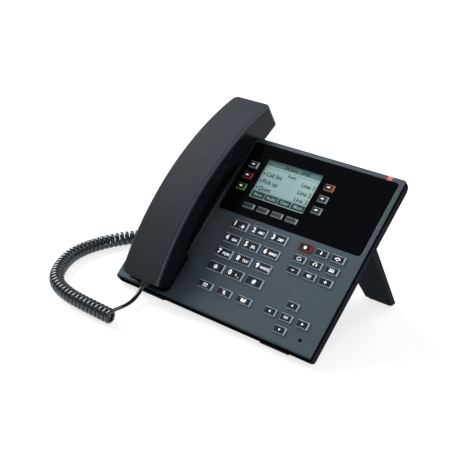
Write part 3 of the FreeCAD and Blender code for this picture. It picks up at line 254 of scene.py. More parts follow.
def key_material(name, top, edge, glow=0.0):
    """Key plastic: a dark top between bevelled edges with a paler painted highlight; the edges glow
    on some keys.
    """
    material, tree, shader = new_material(name)
    normal = tree.nodes.new("ShaderNodeNewGeometry").outputs["True Normal"]
    on_top = calculate(tree, "GREATER_THAN", dot(tree, normal, FACE_NORMAL), TOP_TURN)
    cloud = noise(tree, scale=160.0, detail=3.0)
    dark = cloudy(tree, cloud, top, vary=0.15)
    edge_highlight = cloudy(tree, cloud, edge, vary=0.12)
    # Painted light: bevels that face left are painted darker than those that face right
    sideways = separate(tree, normal)["X"]
    share = map_range(tree, sideways, start=-0.5, stop=0.5, low=0.30, high=1.05)
    colour = mix_colours(tree, on_top, scaled(tree, edge_highlight, share), dark)
    tree.links.new(colour, shader.inputs["Base Color"])
    fine = noise(tree, scale=3000.0)
    vary_sheen(tree, shader, fine, low=0.34, high=0.46)
    add_bump(tree, shader, fine, strength=0.06, distance=0.04 * MM)
    shader.inputs["Specular IOR Level"].default_value = 0.15
    if glow:
        lit = mix_colours(tree, on_top, (*edge, 1.0), BLACK)
        tree.links.new(lit, shader.inputs["Emission Color"])
        shader.inputs["Emission Strength"].default_value = glow
    return material


def face_axes(tree):
    """Coordinates on the sloped face in millimetres, by the names X, Y and Z."""
    where = tree.nodes.new("ShaderNodeTexCoord")
    turn = tree.nodes.new("ShaderNodeMapping")
    turn.vector_type = "TEXTURE"
    turn.inputs["Location"].default_value = Vector(SHIFT) * MM
    turn.inputs["Rotation"].default_value = (TILT, 0.0, 0.0)
    turn.inputs["Scale"].default_value = (MM, MM, MM)
    tree.links.new(where.outputs["Object"], turn.inputs["Vector"])
    return separate(tree, turn.outputs["Vector"])


def inside(tree, coordinate, middle, width):
    """1 where a coordinate lies within a width about a middle, and 0 elsewhere."""
    away = calculate(tree, "SUBTRACT", coordinate, middle)
    return calculate(tree, "COMPARE", away, 0.0, width / 2)


def both(tree, first, second):
    return calculate(tree, "MULTIPLY", first, second)


def either(tree, first, second):
    return calculate(tree, "MAXIMUM", first, second)


def within_box(tree, face, middle, size):
    """1 within a box on the face, and 0 elsewhere."""
    spans = zip("XYZ", middle, size)
    across, along, deep = (inside(tree, face[axis], *span) for axis, *span in spans)
    return both(tree, both(tree, across, along), deep)


# Display: middle and size of the clear part of the window, in millimetres on the face,
# how far that part still covers what lies behind it, and how far the dots darken the display
SCREEN = (-0.6, 49.4)
SCREEN_SIZE = (60.4, 40.2)
CLEAR_ALPHA = 0.08
DOT_SHARE = 0.08


def window_glass():
    """Pane printed gloss black behind, and clear over the display."""
    material, tree, shader = new_material("window_black")
    face = face_axes(tree)
    across = inside(tree, face["X"], SCREEN[0], SCREEN_SIZE[0])
    along = inside(tree, face["Y"], SCREEN[1], SCREEN_SIZE[1])
    clear = both(tree, across, along)
    solid = map_range(tree, clear, start=0.0, stop=1.0, low=1.0, high=CLEAR_ALPHA)
    tree.links.new(solid, shader.inputs["Alpha"])
    cloud = noise(tree, scale=45.0, detail=4.0)
    tint = ramp(tree, cloud, (0.0016, 0.0023, 0.0036), (0.0021, 0.0029, 0.0044))
    tree.links.new(tint, shader.inputs["Base Color"])
    smear = noise(tree, scale=90.0, detail=5.0, rough=0.7)
    vary_sheen(tree, shader, smear, low=0.05, high=0.10)
    shader.inputs["Specular IOR Level"].default_value = 0.12
    return material


# Shoulders of the handset, which get a painted highlight: sideways part of the normal in their
# middle, and how far from it they end
SHOULDER_LEAN = 0.68
SHOULDER_REACH = 0.32


def paint_shoulder_highlight(material, painted_highlight):
    """Painted highlight: the rounded shoulders along both sides, which lean about half over, are
    painted paler.
    """
    tree, shader = shader_of(material)
    normal = tree.nodes.new("ShaderNodeNewGeometry").outputs["Normal"]
    lean = calculate(tree, "ABSOLUTE", separate(tree, normal)["X"])
    away = calculate(tree, "ABSOLUTE", calculate(tree, "SUBTRACT", lean, SHOULDER_LEAN))
    share = map_range(tree, away, start=0.0, stop=SHOULDER_REACH, low=painted_highlight, high=1.0)
    scale_colour(tree, shader, share)


def contact_shade(material, reach, darkest):
    """Darker close to what stands on the surface or over it, within a reach in metres."""
    tree, shader = shader_of(material)
    near = tree.nodes.new("ShaderNodeAmbientOcclusion")
    near.samples = 8
    near.inputs["Distance"].default_value = reach
    share = map_range(tree, near.outputs["AO"], start=0.52, stop=0.90, low=darkest, high=1.0)
    scale_colour(tree, shader, share)


# Painted shade: boxes on the face that are painted nearly black, as a middle and a size
# in millimetres: wells and apertures of the cover, the foot of the cover, and the lip of the
# housing under it, of which the last two reach past all sides of the phone; then the colours
# of the painted shade, and the sheen left where the cover's sheen is shaded too
WELL_SHADE_BOX = ((-5.7, 2.0, -6.3), (212.0, 172.0, 12.0))
COVER_FOOT_SHADE_BOX = ((-5.7, 0.0, -6.5), (300.0, 300.0, 12.0))
HOUSING_LIP_SHADE_BOX = ((-5.7, 0.0, -2.0), (300.0, 300.0, 4.0))
WELL_SHADE_COLOUR = (0.0062, 0.0080, 0.0100)
SEAM_SHADE_COLOUR = (0.0022, 0.0030, 0.0042)
WELL_SHADE_SPECULAR = 0.0


def paint_recess_shade(material, zones, colour, matt=False):
    """Painted shade: what lies within the boxes is painted nearly black, and can also lose its sheen
    there as painted shade.
    """
    tree, shader = shader_of(material)
    face = face_axes(tree)
    within, *others = [within_box(tree, face, *zone) for zone in zones]
    for other in others:
        within = either(tree, within, other)
    dark = cloudy(tree, noise(tree, scale=45.0, detail=4.0), colour)
    mixed = mix_colours(tree, within, colour_of(shader), dark)
    tree.links.new(mixed, shader.inputs["Base Color"])
    if matt:
        specular = shader.inputs["Specular IOR Level"]
        plain = specular.default_value
        sheen = map_range(tree, within, start=0.0, stop=1.0, low=plain, high=WELL_SHADE_SPECULAR)
        tree.links.new(sheen, specular)


def screw_steel():
    material, tree, shader = new_material("screw_steel")
    streaks = noise(tree, scale=900.0, detail=5.0, rough=0.7)
    tint = ramp(tree, streaks, (0.34, 0.34, 0.35), (0.52, 0.52, 0.53))
    tree.links.new(tint, shader.inputs["Base Color"])
    vary_sheen(tree, shader, streaks, low=0.25, high=0.42)
    shader.inputs["Metallic"].default_value = 1.0
    add_bump(tree, shader, streaks, strength=0.1, distance=0.05 * MM)
    return material


def clear_plastic(name, colour, alpha):
    material, tree, shader = new_material(name)
    cloud = noise(tree, scale=300.0)
    tree.links.new(cloudy(tree, cloud, colour), shader.inputs["Base Color"])
    vary_sheen(tree, shader, cloud, low=0.08, high=0.13)
    shader.inputs["Alpha"].default_value = alpha
    return material


def light_pipe():
    material, tree, shader = new_material("light_pipe")
    tint = ramp(tree, noise(tree, scale=700.0), (0.62, 0.13, 0.15), (0.78, 0.24, 0.25))
    tree.links.new(tint, shader.inputs["Base Color"])
    tree.links.new(tint, shader.inputs["Emission Color"])
    shader.inputs["Emission Strength"].default_value = 0.25
    shader.inputs["Roughness"].default_value = 0.2
    return material


def display_glass():
    """Pale reflective display with a fine dot grid and a soft backlight."""
    material, tree, shader = new_material("display_glass")
    where = tree.nodes.new("ShaderNodeTexCoord")
    turn = tree.nodes.new("ShaderNodeMapping")
    turn.inputs["Rotation"].default_value = (-TILT, 0.0, 0.0)
    tree.links.new(where.outputs["Object"], turn.inputs["Vector"])
    dots = tree.nodes.new("ShaderNodeTexChecker")
    dots.inputs["Scale"].default_value = 4200.0
    tree.links.new(turn.outputs["Vector"], dots.inputs["Vector"])
    tint = ramp(tree, noise(tree, scale=30.0), (0.270, 0.440, 0.430), (0.320, 0.500, 0.490))
    dotted = mix_colours(tree, DOT_SHARE, tint, dots.outputs["Color"], blend="MULTIPLY")
    tree.links.new(dotted, shader.inputs["Base Color"])
    tree.links.new(dotted, shader.inputs["Emission Color"])
    shader.inputs["Emission Strength"].default_value = 0.34
    shader.inputs["Roughness"].default_value = 0.3
    return material


def legend_white():
    """White print with a painted glow, so that it stays bright in the shade."""
    material = moulded("legend_white", (0.90, 0.92, 0.94), rough=0.5, bump=0.05, vary=0.04)
    shader = shader_of(material)[1]
    shader.inputs["Emission Color"].default_value = (0.90, 0.95, 1.0, 1.0)
    shader.inputs["Emission Strength"].default_value = 0.45
    return material


# Materials, where a paler factor paints a highlight on edges and on the handset's shoulders
COVER = moulded(
    "cover_grey",
    (0.052, 0.075, 0.092),
    rough=0.50,
    bump=0.16,
    specular=0.4,
    edge=0.8 * MM,
    painted_highlight=1.35,
)
contact_shade(COVER, reach=40 * MM, darkest=0.15)
# Painted shade in the wells, apertures and foot of the cover, whose sheen is shaded too
paint_recess_shade(COVER, [WELL_SHADE_BOX, COVER_FOOT_SHADE_BOX], WELL_SHADE_COLOUR, matt=True)
HOUSING = moulded(
    "housing_black", (0.0240, 0.0290, 0.0360), rough=0.45, specular=0.0, edge=0.8 * MM, painted_highlight=1.6
)
# Painted shade along the lip of the housing under the cover
paint_recess_shade(HOUSING, [HOUSING_LIP_SHADE_BOX], SEAM_SHADE_COLOUR)
STAND = moulded(
    "stand_black", (0.012, 0.018, 0.026), rough=0.55, specular=0.022, edge=1.0 * MM, painted_highlight=2.4
)
HANDSET = moulded(
    "handset_grey",
    (0.035, 0.041, 0.050),
    rough=0.60,
    bump=0.16,
    specular=0.09,
    edge=1.0 * MM,
    painted_highlight=1.9,
)
# Painted highlight on the handset's shoulders
paint_shoulder_highlight(HANDSET, painted_highlight=3.2)
CUPS = moulded(
    "handset_black",
    (0.0062, 0.0088, 0.0128),
    rough=0.20,
    bump=0.04,
    specular=0.13,
    edge=0.8 * MM,
    painted_highlight=2.4,
)
SOCKET = moulded("socket_black", (0.010, 0.010, 0.011), rough=0.45)
RUBBER = moulded("foot_rubber", (0.012, 0.012, 0.013), rough=0.75, grain=1800.0, bump=0.3)
CORD = moulded(
    "cord_black", (0.0065, 0.0090, 0.0125), rough=0.24, grain=1500.0, bump=0.10, specular=0.9
)
FELT = moulded(
    "microphone_felt", (0.0022, 0.0026, 0.0032), rough=0.9, grain=1800.0, bump=0.3, specular=0.0
)
SILICONE = moulded("silicone", (0.22, 0.23, 0.24), rough=0.6)
BOARD = moulded("circuit_board", (0.010, 0.075, 0.030), rough=0.4, grain=900.0)
STEEL = moulded("speaker_steel", (0.05, 0.05, 0.055), rough=0.4)
# The edge colours of the keys carry a painted highlight, painted lighter on bevels that face right
KEY = key_material("key_dark", (0.0115, 0.0155, 0.0195), (0.52, 0.65, 0.77))
KEY_RED = key_material("key_red", (0.013, 0.014, 0.017), (0.42, 0.040, 0.055), glow=0.12)
SOFTKEY = key_material("softkey_grey", (0.032, 0.044, 0.056), (0.44, 0.56, 0.66))
LINE_GREY = key_material("line_key_grey", (0.018, 0.023, 0.028), (0.40, 0.50, 0.58))
LINE_RED = key_material("line_key_red", (0.018, 0.018, 0.020), (0.34, 0.030, 0.042), glow=0.10)
LINE_GREEN = key_material("line_key_green", (0.018, 0.022, 0.020), (0.13, 0.28, 0.05), glow=0.10)
LINE_ORANGE = key_material("line_key_orange", (0.020, 0.020, 0.020), (0.52, 0.22, 0.055), glow=0.10)
DISPLAY = display_glass()
INK = moulded("display_ink", (0.024, 0.042, 0.041), rough=0.5, bump=0.0, specular=0.1)
BAND = moulded("display_band", (0.165, 0.310, 0.305), rough=0.5, bump=0.0, vary=0.05, specular=0.1)
SOFT_LABEL = moulded("display_label", (0.046, 0.088, 0.090), rough=0.5, bump=0.0, specular=0.1)
LEGEND = legend_white()

PAINTED = [
    (COVER, ["top_cover"]),
    (HOUSING, ["bottom_cover", "hook_switch"]),
    (STAND, ["stand"]),
    (HANDSET, ["handset_top_shell"]),
    (CUPS, ["handset_bottom_shell"]),
    (window_glass(), ["display_window"]),
    (DISPLAY, ["lcd_module"]),
    (light_pipe(), ["message_light"]),
    (BOARD, ["main_board"]),
    (SILICONE, ["keypad_mat"]),
    (STEEL, ["loudspeaker", "handset_capsules"]),
    (screw_steel(), ["case_screws"]),
    (SOCKET, ["rear_jacks", "cord_jacks"]),
    (clear_plastic("plug_clear", (0.16, 0.17, 0.18), alpha=0.75), ["base_plug", "handset_plug"]),
    (RUBBER, ["front_feet", "stand_feet"]),
]
PLAIN_KEYS = {"key_": KEY, "softkey": SOFTKEY, "line_key": LINE_GREY}
COLOURED_KEYS = {
    "key_record": KEY_RED,
    "line_key_left_2": LINE_RED,
    "line_key_left_3": LINE_GREEN,
    "line_key_right_1": LINE_ORANGE,
}


def paint(name, material):
    mesh = nodes[name].data
    mesh.materials.clear()
    mesh.materials.append(material)


for material, names in PAINTED:
    for name in names:
        paint(name, material)
for name in nodes:
    for start, material in PLAIN_KEYS.items():
        if name.startswith(start):
            paint(name, COLOURED_KEYS.get(name, material))


# Printed marks: thin closed shapes drawn in millimetres on the face,
# with capitals that take up a share of the font's size
INK_DEPTH = 0.05
CAP_SHARE = 0.70


def plate(mesh, outline):
    """Thin closed plate over an outline that runs anticlockwise."""
    low = [mesh.verts.new((x, y, 0.0)) for x, y in outline]
    high = [mesh.verts.new((x, y, INK_DEPTH)) for x, y in outline]
    mesh.faces.new(high)
    mesh.faces.new(list(reversed(low)))
    for spot in range(len(outline)):
        follow = (spot + 1) % len(outline)
        mesh.faces.new((low[spot], low[follow], high[follow], high[spot]))


def curve_mesh(curve):
    """Mesh made from a curve or from letters, which are removed."""
    holder = add_object(curve.name, curve)
    mesh = bpy.data.meshes.new_from_object(holder)
    bpy.data.objects.remove(holder)
    bpy.data.curves.remove(curve)
    return mesh


def words(mesh, text, x, y, height, align="CENTER", weight=0.02):
    """Letters of a given capital height, as thin closed shapes."""
    curve = bpy.data.curves.new("words", "FONT")
    curve.body = text
    curve.size = height / CAP_SHARE
    curve.offset = weight * height
    curve.extrude = INK_DEPTH / 2
    curve.resolution_u = 3
    curve.align_x = align
    curve.align_y = "CENTER"
    letters = curve_mesh(curve)
    letters.transform(Matrix.Translation((x, y, INK_DEPTH / 2)))
    mesh.from_mesh(letters)
    bpy.data.meshes.remove(letters)


def bar(x, y, width, height):
    left, right = x - width / 2, x + width / 2
    low, high = y - height / 2, y + height / 2
    return [(left, low), (right, low), (right, high), (left, high)]


def stroke(x0, y0, x1, y1, width):
    """Straight line with a width."""
    run = Vector((x1 - x0, y1 - y0)).normalized() * width / 2
    side = Vector((-run.y, run.x))
    corners = [(x0, y0, -1), (x1, y1, -1), (x1, y1, 1), (x0, y0, 1)]
    return [(x + side.x * sign, y + side.y * sign) for x, y, sign in corners]


def round_point(x, y, radius, squash, angle):
    """Point on a circle that is squashed along y."""
    return x + radius * math.cos(angle), y + radius * squash * math.sin(angle)


def disc(x, y, radius, squash=1.0, sides=20):
    angles = [2 * math.pi * side / sides for side in range(sides)]
    return [round_point(x, y, radius, squash, angle) for angle in angles]


def arc(x, y, radius, width, start, end, squash=1.0, steps=14):
    """Curved line with a width, between two angles in degrees."""
    angles = [math.radians(start + (end - start) * step / steps) for step in range(steps + 1)]
    outer = [round_point(x, y, radius + width / 2, squash, angle) for angle in angles]
    inner = [round_point(x, y, radius - width / 2, squash, angle) for angle in angles]
    return outer + inner[::-1]


def figure(x):
    """Head and shoulders."""
    return [disc(x, 0.95, 0.62), [(x - 0.8, -1.4), (x + 0.8, -1.4), (x + 0.6, 0.1), (x - 0.6, 0.1)]]


def cross(reach, half_width, arms=4):
    """Straight arms about a middle."""
    outline = []
    corner = half_width / math.tan(math.pi / arms)
    for arm in range(arms):
        angle = math.pi * (0.5 + 2 * arm / arms)
        x, y = math.cos(angle), math.sin(angle)
        for along, aside in ((reach, -half_width), (reach, half_width), (corner, half_width)):
            outline.append((x * along - y * aside, y * along + x * aside))
    return outline


def triangle(angle, radius=1.35):
    """Triangle that points to an angle in degrees."""
    spots = [math.radians(angle + turn) for turn in (0, 120, 240)]
    return [(radius * math.cos(spot), radius * math.sin(spot)) for spot in spots]


# Symbols of the keys, as outlines about the middle of the key
HANDSET_MARK = [arc(0, -1.2, 2.2, 0.8, 35, 145), disc(-1.9, -0.2, 0.75), disc(1.9, -0.2, 0.75)]
ICONS = {
    "key_record": [disc(0, 0, 1.5)],
    "key_star": [cross(2.4, 0.38, 6)],
    "key_transfer": figure(0),
    "key_hold": HANDSET_MARK + [bar(-0.5, -1.5, 0.5, 1.4), bar(0.5, -1.5, 0.5, 1.4)],
    "key_redial": [arc(0, 0, 2.0, 0.6, 40, 330, 0.75), [(1.1, -0.5), (2.5, -1.4), (2.5, 0.0)]],
    "key_headset": [
        arc(0, 0, 1.5, 0.5, 0, 180, 1.2),
        disc(-1.5, -0.4, 0.7, 1.4),
        disc(1.5, -0.4, 0.7, 1.4),
    ],
    "key_conference": figure(-1.8) + figure(0) + figure(1.8),
    "key_volume_down": [bar(0, 0, 2.8, 0.8)],
    "key_volume_up": [cross(1.4, 0.4)],
    "key_speaker": [
        bar(-1.6, 0, 0.8, 1.4),
        [(-1.1, -0.8), (0.1, -1.8), (0.1, 1.8), (-1.1, 0.8)],
        arc(0, 0, 1.2, 0.4, -45, 45),
        arc(0, 0, 2.0, 0.4, -45, 45),
    ],
    "key_mailbox": [
        bar(0, 1.3, 4.4, 0.45),
        bar(0, -1.3, 4.4, 0.45),
        bar(-2.0, 0, 0.45, 2.1),
        bar(2.0, 0, 0.45, 2.1),
        stroke(-1.7, 0.95, 0, -0.25, 0.45),
        stroke(0, -0.25, 1.7, 0.95, 0.45),
    ],
    "key_mute": [
        disc(0, 0.7, 0.75, 1.5),
        arc(0, 0.3, 1.35, 0.4, 180, 360),
        bar(0, -1.55, 0.45, 0.7),
        stroke(-1.9, 1.9, -1.0, 1.0, 0.45),
        stroke(1.0, -1.0, 1.9, -1.9, 0.45),
    ],
    "key_contacts": [
        [(-2.6, -1.2), (-0.25, -1.7), (-0.25, 1.2), (-2.6, 1.6)],
        [(0.25, -1.7), (2.6, -1.2), (2.6, 1.6), (0.25, 1.2)],
    ],
    "key_up": [triangle(90)],
    "key_left": [triangle(180)],
    "key_down": [triangle(270)],
    "key_right": [triangle(0)],
}
LINE_MARK = [bar(-0.4, 0.3, 2.9, 1.15)]

# Keys with one sign, as its text, height and weight, and the letters of the other dial keys
SIGNS = {"key_hash": ("#", 3.8, 0.06), "key_ok": ("OK", 2.1, 0.02)}
LETTERS = {
    "1": ". @",
    "2": "ABC",
    "3": "DEF",
    "4": "GHI",
    "5": "JKL",
    "6": "MNO",
    "7": "PQRS",
    "8": "TUV",
    "9": "WXYZ",
    "0": "+ _",
}
LEGEND_SINK = INK_DEPTH / 3


def face_middle(name):
    """Middle of a key on the face, and the height of its top."""
    spots = [FACE.inverted() @ vertex.co for vertex in nodes[name].data.vertices]
    lows = [min(part) for part in zip(*spots)]
    highs = [max(part) for part in zip(*spots)]
    return (lows[0] + highs[0]) / 2, (lows[1] + highs[1]) / 2, highs[2]


def finish_mesh(name, mesh):
    """Mesh data made from a drawn mesh, which is freed."""
    data = bpy.data.meshes.new(name)
    mesh.to_mesh(data)
    mesh.free()
    return data


def add_marks(name, body, place, material, draw):
    """One printed piece that moves with a body."""
    mesh = bmesh.new()
    draw(mesh)
    bmesh.ops.recalc_face_normals(mesh, faces=mesh.faces)
    data = finish_mesh(name, mesh)
    data.transform(FACE @ Matrix.Translation(place))
    piece = add_object(name, data)
    data.materials.append(material)
    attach(piece, body)


def plates(outlines):
    """Function that draws a plate over each outline."""

    def draw(mesh):
        for outline in outlines:
            plate(mesh, outline)

    return draw


def key_words(name):
    """Function that draws the sign of a key, or its digit and letters."""

    def draw(mesh):
        if name in SIGNS:
            text, height, weight = SIGNS[name]
            words(mesh, text, 0, 0, height, weight=weight)
        else:
            digit = name.replace("key_", "")
            words(mesh, digit, x=-5.2, y=0, height=4.4, weight=0.055)
            words(mesh, LETTERS[digit], x=3.0, y=-0.6, height=2.3, weight=0.05)

    return draw


def add_legend(name, draw):
    x, y, top = face_middle(name)
    add_marks("legend_" + name, name, (x, y, top - LEGEND_SINK), LEGEND, draw)


for name in nodes:
    if name.startswith("key_"):
        add_legend(name, plates(ICONS[name]) if name in ICONS else key_words(name))
    if name.startswith("line_key"):
        add_legend(name, plates(LINE_MARK))


# Felt in the microphone hole, a little under the face
FELT_PLACE = (88.2, -75.3, -0.35)
FELT_RADIUS = 1.55
draw_felt = plates([disc(0, 0, FELT_RADIUS)])
add_marks("microphone_felt", "base", FELT_PLACE, FELT, draw_felt)


# What the display shows, just under the clear part of the window, in millimetres from its middle
BANDS = [bar(0, 17.4, 60.2, 5.2), bar(0, 12.9, 57.0, 0.4), bar(0, -11.6, 57.0, 0.3)]
ROWS = (6.0, -1.6, -8.9)
ROW_HEIGHT = 4.2
BULLET_X = -28.0
BULLET_RADIUS = 0.9
LEFT_X = -26.0
LEFT_WORDS = ("Call list", "Pick up", "Quiet")
RIGHT_X = 28.5
RIGHT_WORDS = ("Line 1", "Line 2", "Line 3")
LABEL_X = (-22.3, -7.5, 7.3, 22.0)
LABEL_Y = -15.7
LABEL_SIZE = (14.1, 6.4)
LABEL_WORDS = ("Menu", "Redial", "Clear", "More")
LABEL_HEIGHT = 2.9


def display_words(mesh):
    words(mesh, "24 June   10:45", x=3.0, y=17.2, height=3.2, weight=0.03)
    words(mesh, "Ready", x=1.0, y=10.2, height=2.6)
    for y, left, right in zip(ROWS, LEFT_WORDS, RIGHT_WORDS):
        plate(mesh, disc(BULLET_X, y, BULLET_RADIUS))
        words(mesh, left, LEFT_X, y, ROW_HEIGHT, "LEFT")
        words(mesh, right, RIGHT_X, y, ROW_HEIGHT, "RIGHT")


def label_words(mesh):
    for x, text in zip(LABEL_X, LABEL_WORDS):
        words(mesh, text, x, LABEL_Y, LABEL_HEIGHT)


# Layers of the display from the lowest up, and the place of the lowest under the face
LABELS = [bar(x, LABEL_Y, *LABEL_SIZE) for x in LABEL_X]
DISPLAY_LAYERS = [
    ("display_ground", DISPLAY, "display_glass", plates([bar(0, 0, *SCREEN_SIZE)])),
    ("display_band", BAND, "display_ink", plates(BANDS)),
    ("display_labels", SOFT_LABEL, "display_ink", plates(LABELS)),
    ("display_words", INK, "display_ink", display_words),
    ("display_label_words", DISPLAY, "display_glass", label_words),
]
DISPLAY_DEPTH = -1.46
LAYER_STEP = 0.6 * INK_DEPTH
for layer, (name, material, slot, draw) in enumerate(DISPLAY_LAYERS):
    add_marks(name, "base", (*SCREEN, DISPLAY_DEPTH + LAYER_STEP * layer), material, draw)


# Handset cord: a helix along a smooth route, with a tail to each plug
def route(points):
    """Points along a smooth line that follows a short list of control points, in metres."""
    curve = bpy.data.curves.new("route", "CURVE")
    curve.dimensions = "3D"
    spline = curve.splines.new("NURBS")
    spline.points.add(len(points) - 1)
    for spot, point in zip(spline.points, points):
        spot.co = (*point, 1.0)
    spline.order_u = 3
    spline.use_endpoint_u = True
    spline.resolution_u = 24
    line = curve_mesh(curve)
    found = [vertex.co.copy() for vertex in line.vertices]
    bpy.data.meshes.remove(line)
    return found


def evenly(points, count):
    """The same line with evenly spaced points."""
    lengths = [0.0]
    for first, second in zip(points, points[1:]):
        lengths.append(lengths[-1] + (second - first).length)
    spaced = []
    spot = 0
    for step in range(count):
        goal = lengths[-1] * step / (count - 1)
        while spot < len(points) - 2 and lengths[spot + 1] < goal:
            spot += 1
        share = (goal - lengths[spot]) / (lengths[spot + 1] - lengths[spot])
        spaced.append(points[spot].lerp(points[spot + 1], min(share, 1.0)))
    return spaced


def line_length(points):
    return sum((second - first).length for first, second in zip(points, points[1:]))


def headings(points):
    """Direction of a line at each of its points, from the point before to the point after."""
    before = points[:1] + points[:-1]
    after = points[1:] + points[-1:]
    return [(end - start).normalized() for start, end in zip(before, after)]


def square_to(heading, direction):
    """The part of a direction that is square to a heading."""
    return (direction - heading * direction.dot(heading)).normalized()


def flat_tube(name, points, outward, width, thickness, sides):
    """Closed tube with a flattened section, whose thickness lies along the outward directions."""
    mesh = bmesh.new()
    rings = []
    for point, heading, out in zip(points, headings(points), outward):
        beside = heading.cross(out)
        ring = []
        for side in range(sides):
            angle = 2 * math.pi * side / sides
            offset = out * math.cos(angle) * thickness / 2 + beside * math.sin(angle) * width / 2
            ring.append(mesh.verts.new(point + offset))
        rings.append(ring)
    for first, second in zip(rings, rings[1:]):
        for side in range(sides):
            follow = (side + 1) % sides
            mesh.faces.new((first[side], first[follow], second[follow], second[side]))
    mesh.faces.new(list(reversed(rings[0])))
    mesh.faces.new(rings[-1])
    data = finish_mesh(name, mesh)
    for polygon in data.polygons:
        polygon.use_smooth = True
    return data


# Sizes of the cord and its coil in millimetres, and its route from the place on the desk
# under the middle key of the first dial row
CORD_WIDTH = 4.3
CORD_THICKNESS = 2.9
CORD_SIDES = 12
CURL_RADIUS = 5.5
CURL_PITCH = 5.15
CURL_STEPS = 22
COIL_HEIGHT = 7.05
COIL_ROUTE = [
    (-68.5, -119),
    (-98.7, -118.5),
    (-127.5, -116.8),
    (-154.1, -108),
    (-172.9, -85.3),
    (-183.6, -55.3),
    (-177.2, -23),
    (-163.4, 1.2),
    (-152.7, 13.3),
    (-151, 26),
]
HANDSET_TAIL = [(-76.0, -84.8, 5.5), (-71.0, -97, 8.5)]
HANDSET_TAIL_POINTS = 48
BASE_TAIL = [(-130.5, 27, 9), (-126, 31.5, 21), (-126, 37, 37), (-128, 42, 54), (-127.5, 46.5, 70)]
BASE_TAIL_POINTS = 90

# How far the tails head straight on from the coil, the handset plug and the base plug,
# and the ends of the two plugs on the face
COIL_LEAD = 11.5
PLUG_LEAD = 8.0
BASE_LEAD = 11.0
PLUG_END = (-78.5, -85.783, 4.2)
BASE_PLUG_END = (-107.8, 46.0, -21.2)


def on_desk(x, y, z):
    return Vector((x + SHIFT[0], y + SHIFT[1], z)) * MM


def coil():
    """Points of the coil, and at each the direction out of the coil and the way the cord runs."""
    spine = route([on_desk(x, y, COIL_HEIGHT) for x, y in COIL_ROUTE])
    curls = round(line_length(spine) / MM / CURL_PITCH) + 0.5
    pitch = line_length(spine) / curls
    radius = CURL_RADIUS * MM
    centre = evenly(spine, int(curls * CURL_STEPS) + 1)
    helix = []
    radial = []
    sweeps = []
    for spot, (point, axis) in enumerate(zip(centre, headings(centre))):
        beside = UP.cross(axis)
        angle = 2 * math.pi * spot / CURL_STEPS
        radial.append(UP * math.cos(angle) + beside * math.sin(angle))
        helix.append(point + radial[-1] * radius)
        sweep = beside * math.cos(angle) - UP * math.sin(angle)
        sweeps.append((sweep * radius + axis * pitch / (2 * math.pi)).normalized())
    return helix, radial, sweeps


def cord_path():
    """Points of the cord, and the direction of its thickness at each.

    That direction is out of the coil, and is carried on into the tails.
    """
    helix, radial, sweeps = coil()
    leave = face_point(*PLUG_END)
    away = face_point(PLUG_END[0], PLUG_END[1] - PLUG_LEAD, PLUG_END[2])
    start = helix[0] - sweeps[0] * COIL_LEAD * MM
    first = route([leave, away] + [on_desk(*point) for point in HANDSET_TAIL] + [start, helix[0]])
    end = helix[-1] + sweeps[-1] * COIL_LEAD * MM
    arrive = face_point(*BASE_PLUG_END)
    near = arrive - Vector((BASE_LEAD * MM, 0, 0))
    last = route([helix[-1], end] + [on_desk(*point) for point in BASE_TAIL] + [near, arrive])
    first = evenly(first, HANDSET_TAIL_POINTS)[:-1]
    last = evenly(last, BASE_TAIL_POINTS)[1:]
    points = first + helix + last
    ways = headings(points)
    outward = [square_to(way, out) for way, out in zip(ways[len(first):], radial)]
    for way in reversed(ways[:len(first)]):
        outward.insert(0, square_to(way, outward[0]))
    for way in ways[len(first) + len(helix):]:
        outward.append(square_to(way, outward[-1]))
    return points, outward


cord_points, cord_outward = cord_path()
cord_section = (CORD_WIDTH * MM, CORD_THICKNESS * MM, CORD_SIDES)
cord = add_object("curly_cord", flat_tube("curly_cord", cord_points, cord_outward, *cord_section))
cord.data.materials.append(CORD)
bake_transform(cord)
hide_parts("handset_cord")


# Studio lamps: name, place and target in metres, width and height in metres, power in watts
LAMPS = [
    ("softbox_left", (-1.75, 0.15, 1.22), (0, 0, 0.06), 1.3, 1.3, 54),
    ("overhead_back", (0.1, 1.2, 1.5), (0, 0, 0.05), 1.6, 0.9, 10),
    ("front_fill", (0.9, -1.5, 1.5), (0, 0, 0.05), 1.0, 1.0, 7),
    ("rim_right", (1.6, -0.1, 0.5), (0, 0, 0.06), 0.9, 0.6, 7),
    ("back_fill", (0.4, 2.0, 0.8), (0, 0, 0.08), 1.4, 0.9, 9),
]


def area_light(name, place, target, width, height, power):
    lamp = bpy.data.lights.new(name, "AREA")
    lamp.shape = "RECTANGLE"
    lamp.size = width
    lamp.size_y = height
    lamp.energy = power
    holder = add_object(name, lamp)
    holder.location = place
    holder.rotation_euler = (Vector(target) - Vector(place)).to_track_quat("-Z", "Y").to_euler()


for lamp in LAMPS:
    area_light(*lamp)


# Floor and world look brighter than the light they give
FLOOR_REACH = 12
FLOOR_GLOW = 0.72
WORLD_LIGHT = 0.20
WORLD_SEEN = 0.81
WHITE = (1, 1, 1, 1)


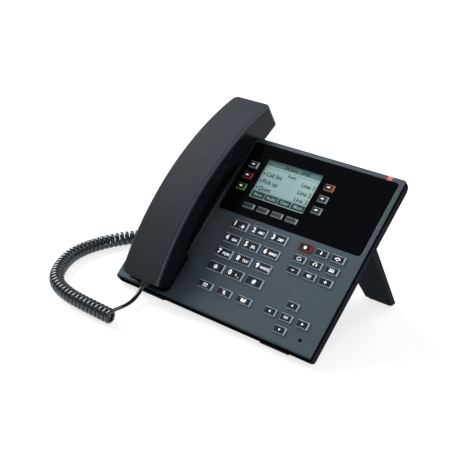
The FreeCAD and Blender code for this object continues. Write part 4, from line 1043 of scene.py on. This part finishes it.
def floor_material():
    material, tree, shader = new_material("floor_pale")
    tint = ramp(tree, noise(tree, scale=3.0), (0.42, 0.42, 0.42), (0.44, 0.44, 0.44))
    tree.links.new(tint, shader.inputs["Base Color"])
    shader.inputs["Roughness"].default_value = 0.9
    shader.inputs["Specular IOR Level"].default_value = 0.0
    rays = tree.nodes.new("ShaderNodeLightPath").outputs
    seen = either(tree, rays["Is Camera Ray"], rays["Is Glossy Ray"])
    through = either(tree, seen, rays["Is Transmission Ray"])
    glow = calculate(tree, "MULTIPLY", through, FLOOR_GLOW)
    shader.inputs["Emission Color"].default_value = WHITE
    tree.links.new(glow, shader.inputs["Emission Strength"])
    return material


def add_floor():
    low, high = -FLOOR_REACH, FLOOR_REACH
    mesh = bpy.data.meshes.new("floor")
    corners = [(low, low, 0), (high, low, 0), (high, high, 0), (low, high, 0)]
    mesh.from_pydata(corners, [], [(0, 1, 2, 3)])
    mesh.materials.append(floor_material())
    return add_object("floor", mesh)


def add_world():
    world = bpy.data.worlds.new("studio")
    world.use_nodes = True
    tree = world.node_tree
    background = tree.nodes["Background"]
    background.inputs["Color"].default_value = WHITE
    rays = tree.nodes.new("ShaderNodeLightPath").outputs
    seen = rays["Is Camera Ray"]
    strength = map_range(tree, seen, start=0.0, stop=1.0, low=WORLD_LIGHT, high=WORLD_SEEN)
    tree.links.new(strength, background.inputs["Strength"])
    scene.world = world


add_world()
floor = add_floor()

# Camera of the photograph: width and focal length in pixels, width of the sensor in millimetres,
# place in metres, and axes
PHOTO_WIDTH = 461.0
FOCAL_PIXELS = 1000.0
SENSOR_WIDTH = 36.0
CAMERA_PLACE = Vector((0.490823, -0.638447, 0.458477))
CAMERA_RIGHT = Vector((0.769927, 0.638132, 0.000156))
CAMERA_DOWN = Vector((0.283261, -0.341545, -0.896164))
CAMERA_FORWARD = Vector((-0.571818, 0.690025, -0.443723))

camera = bpy.data.cameras.new("camera")
camera.sensor_width = SENSOR_WIDTH
camera.lens = FOCAL_PIXELS / PHOTO_WIDTH * SENSOR_WIDTH
camera.clip_start = 0.05
camera.clip_end = 50.0
turn = Matrix((CAMERA_RIGHT, -CAMERA_DOWN, -CAMERA_FORWARD)).transposed().to_4x4()
viewer = add_object("camera", camera)
viewer.matrix_world = Matrix.Translation(CAMERA_PLACE) @ turn
scene.camera = viewer
scene.view_settings.view_transform = "Standard"
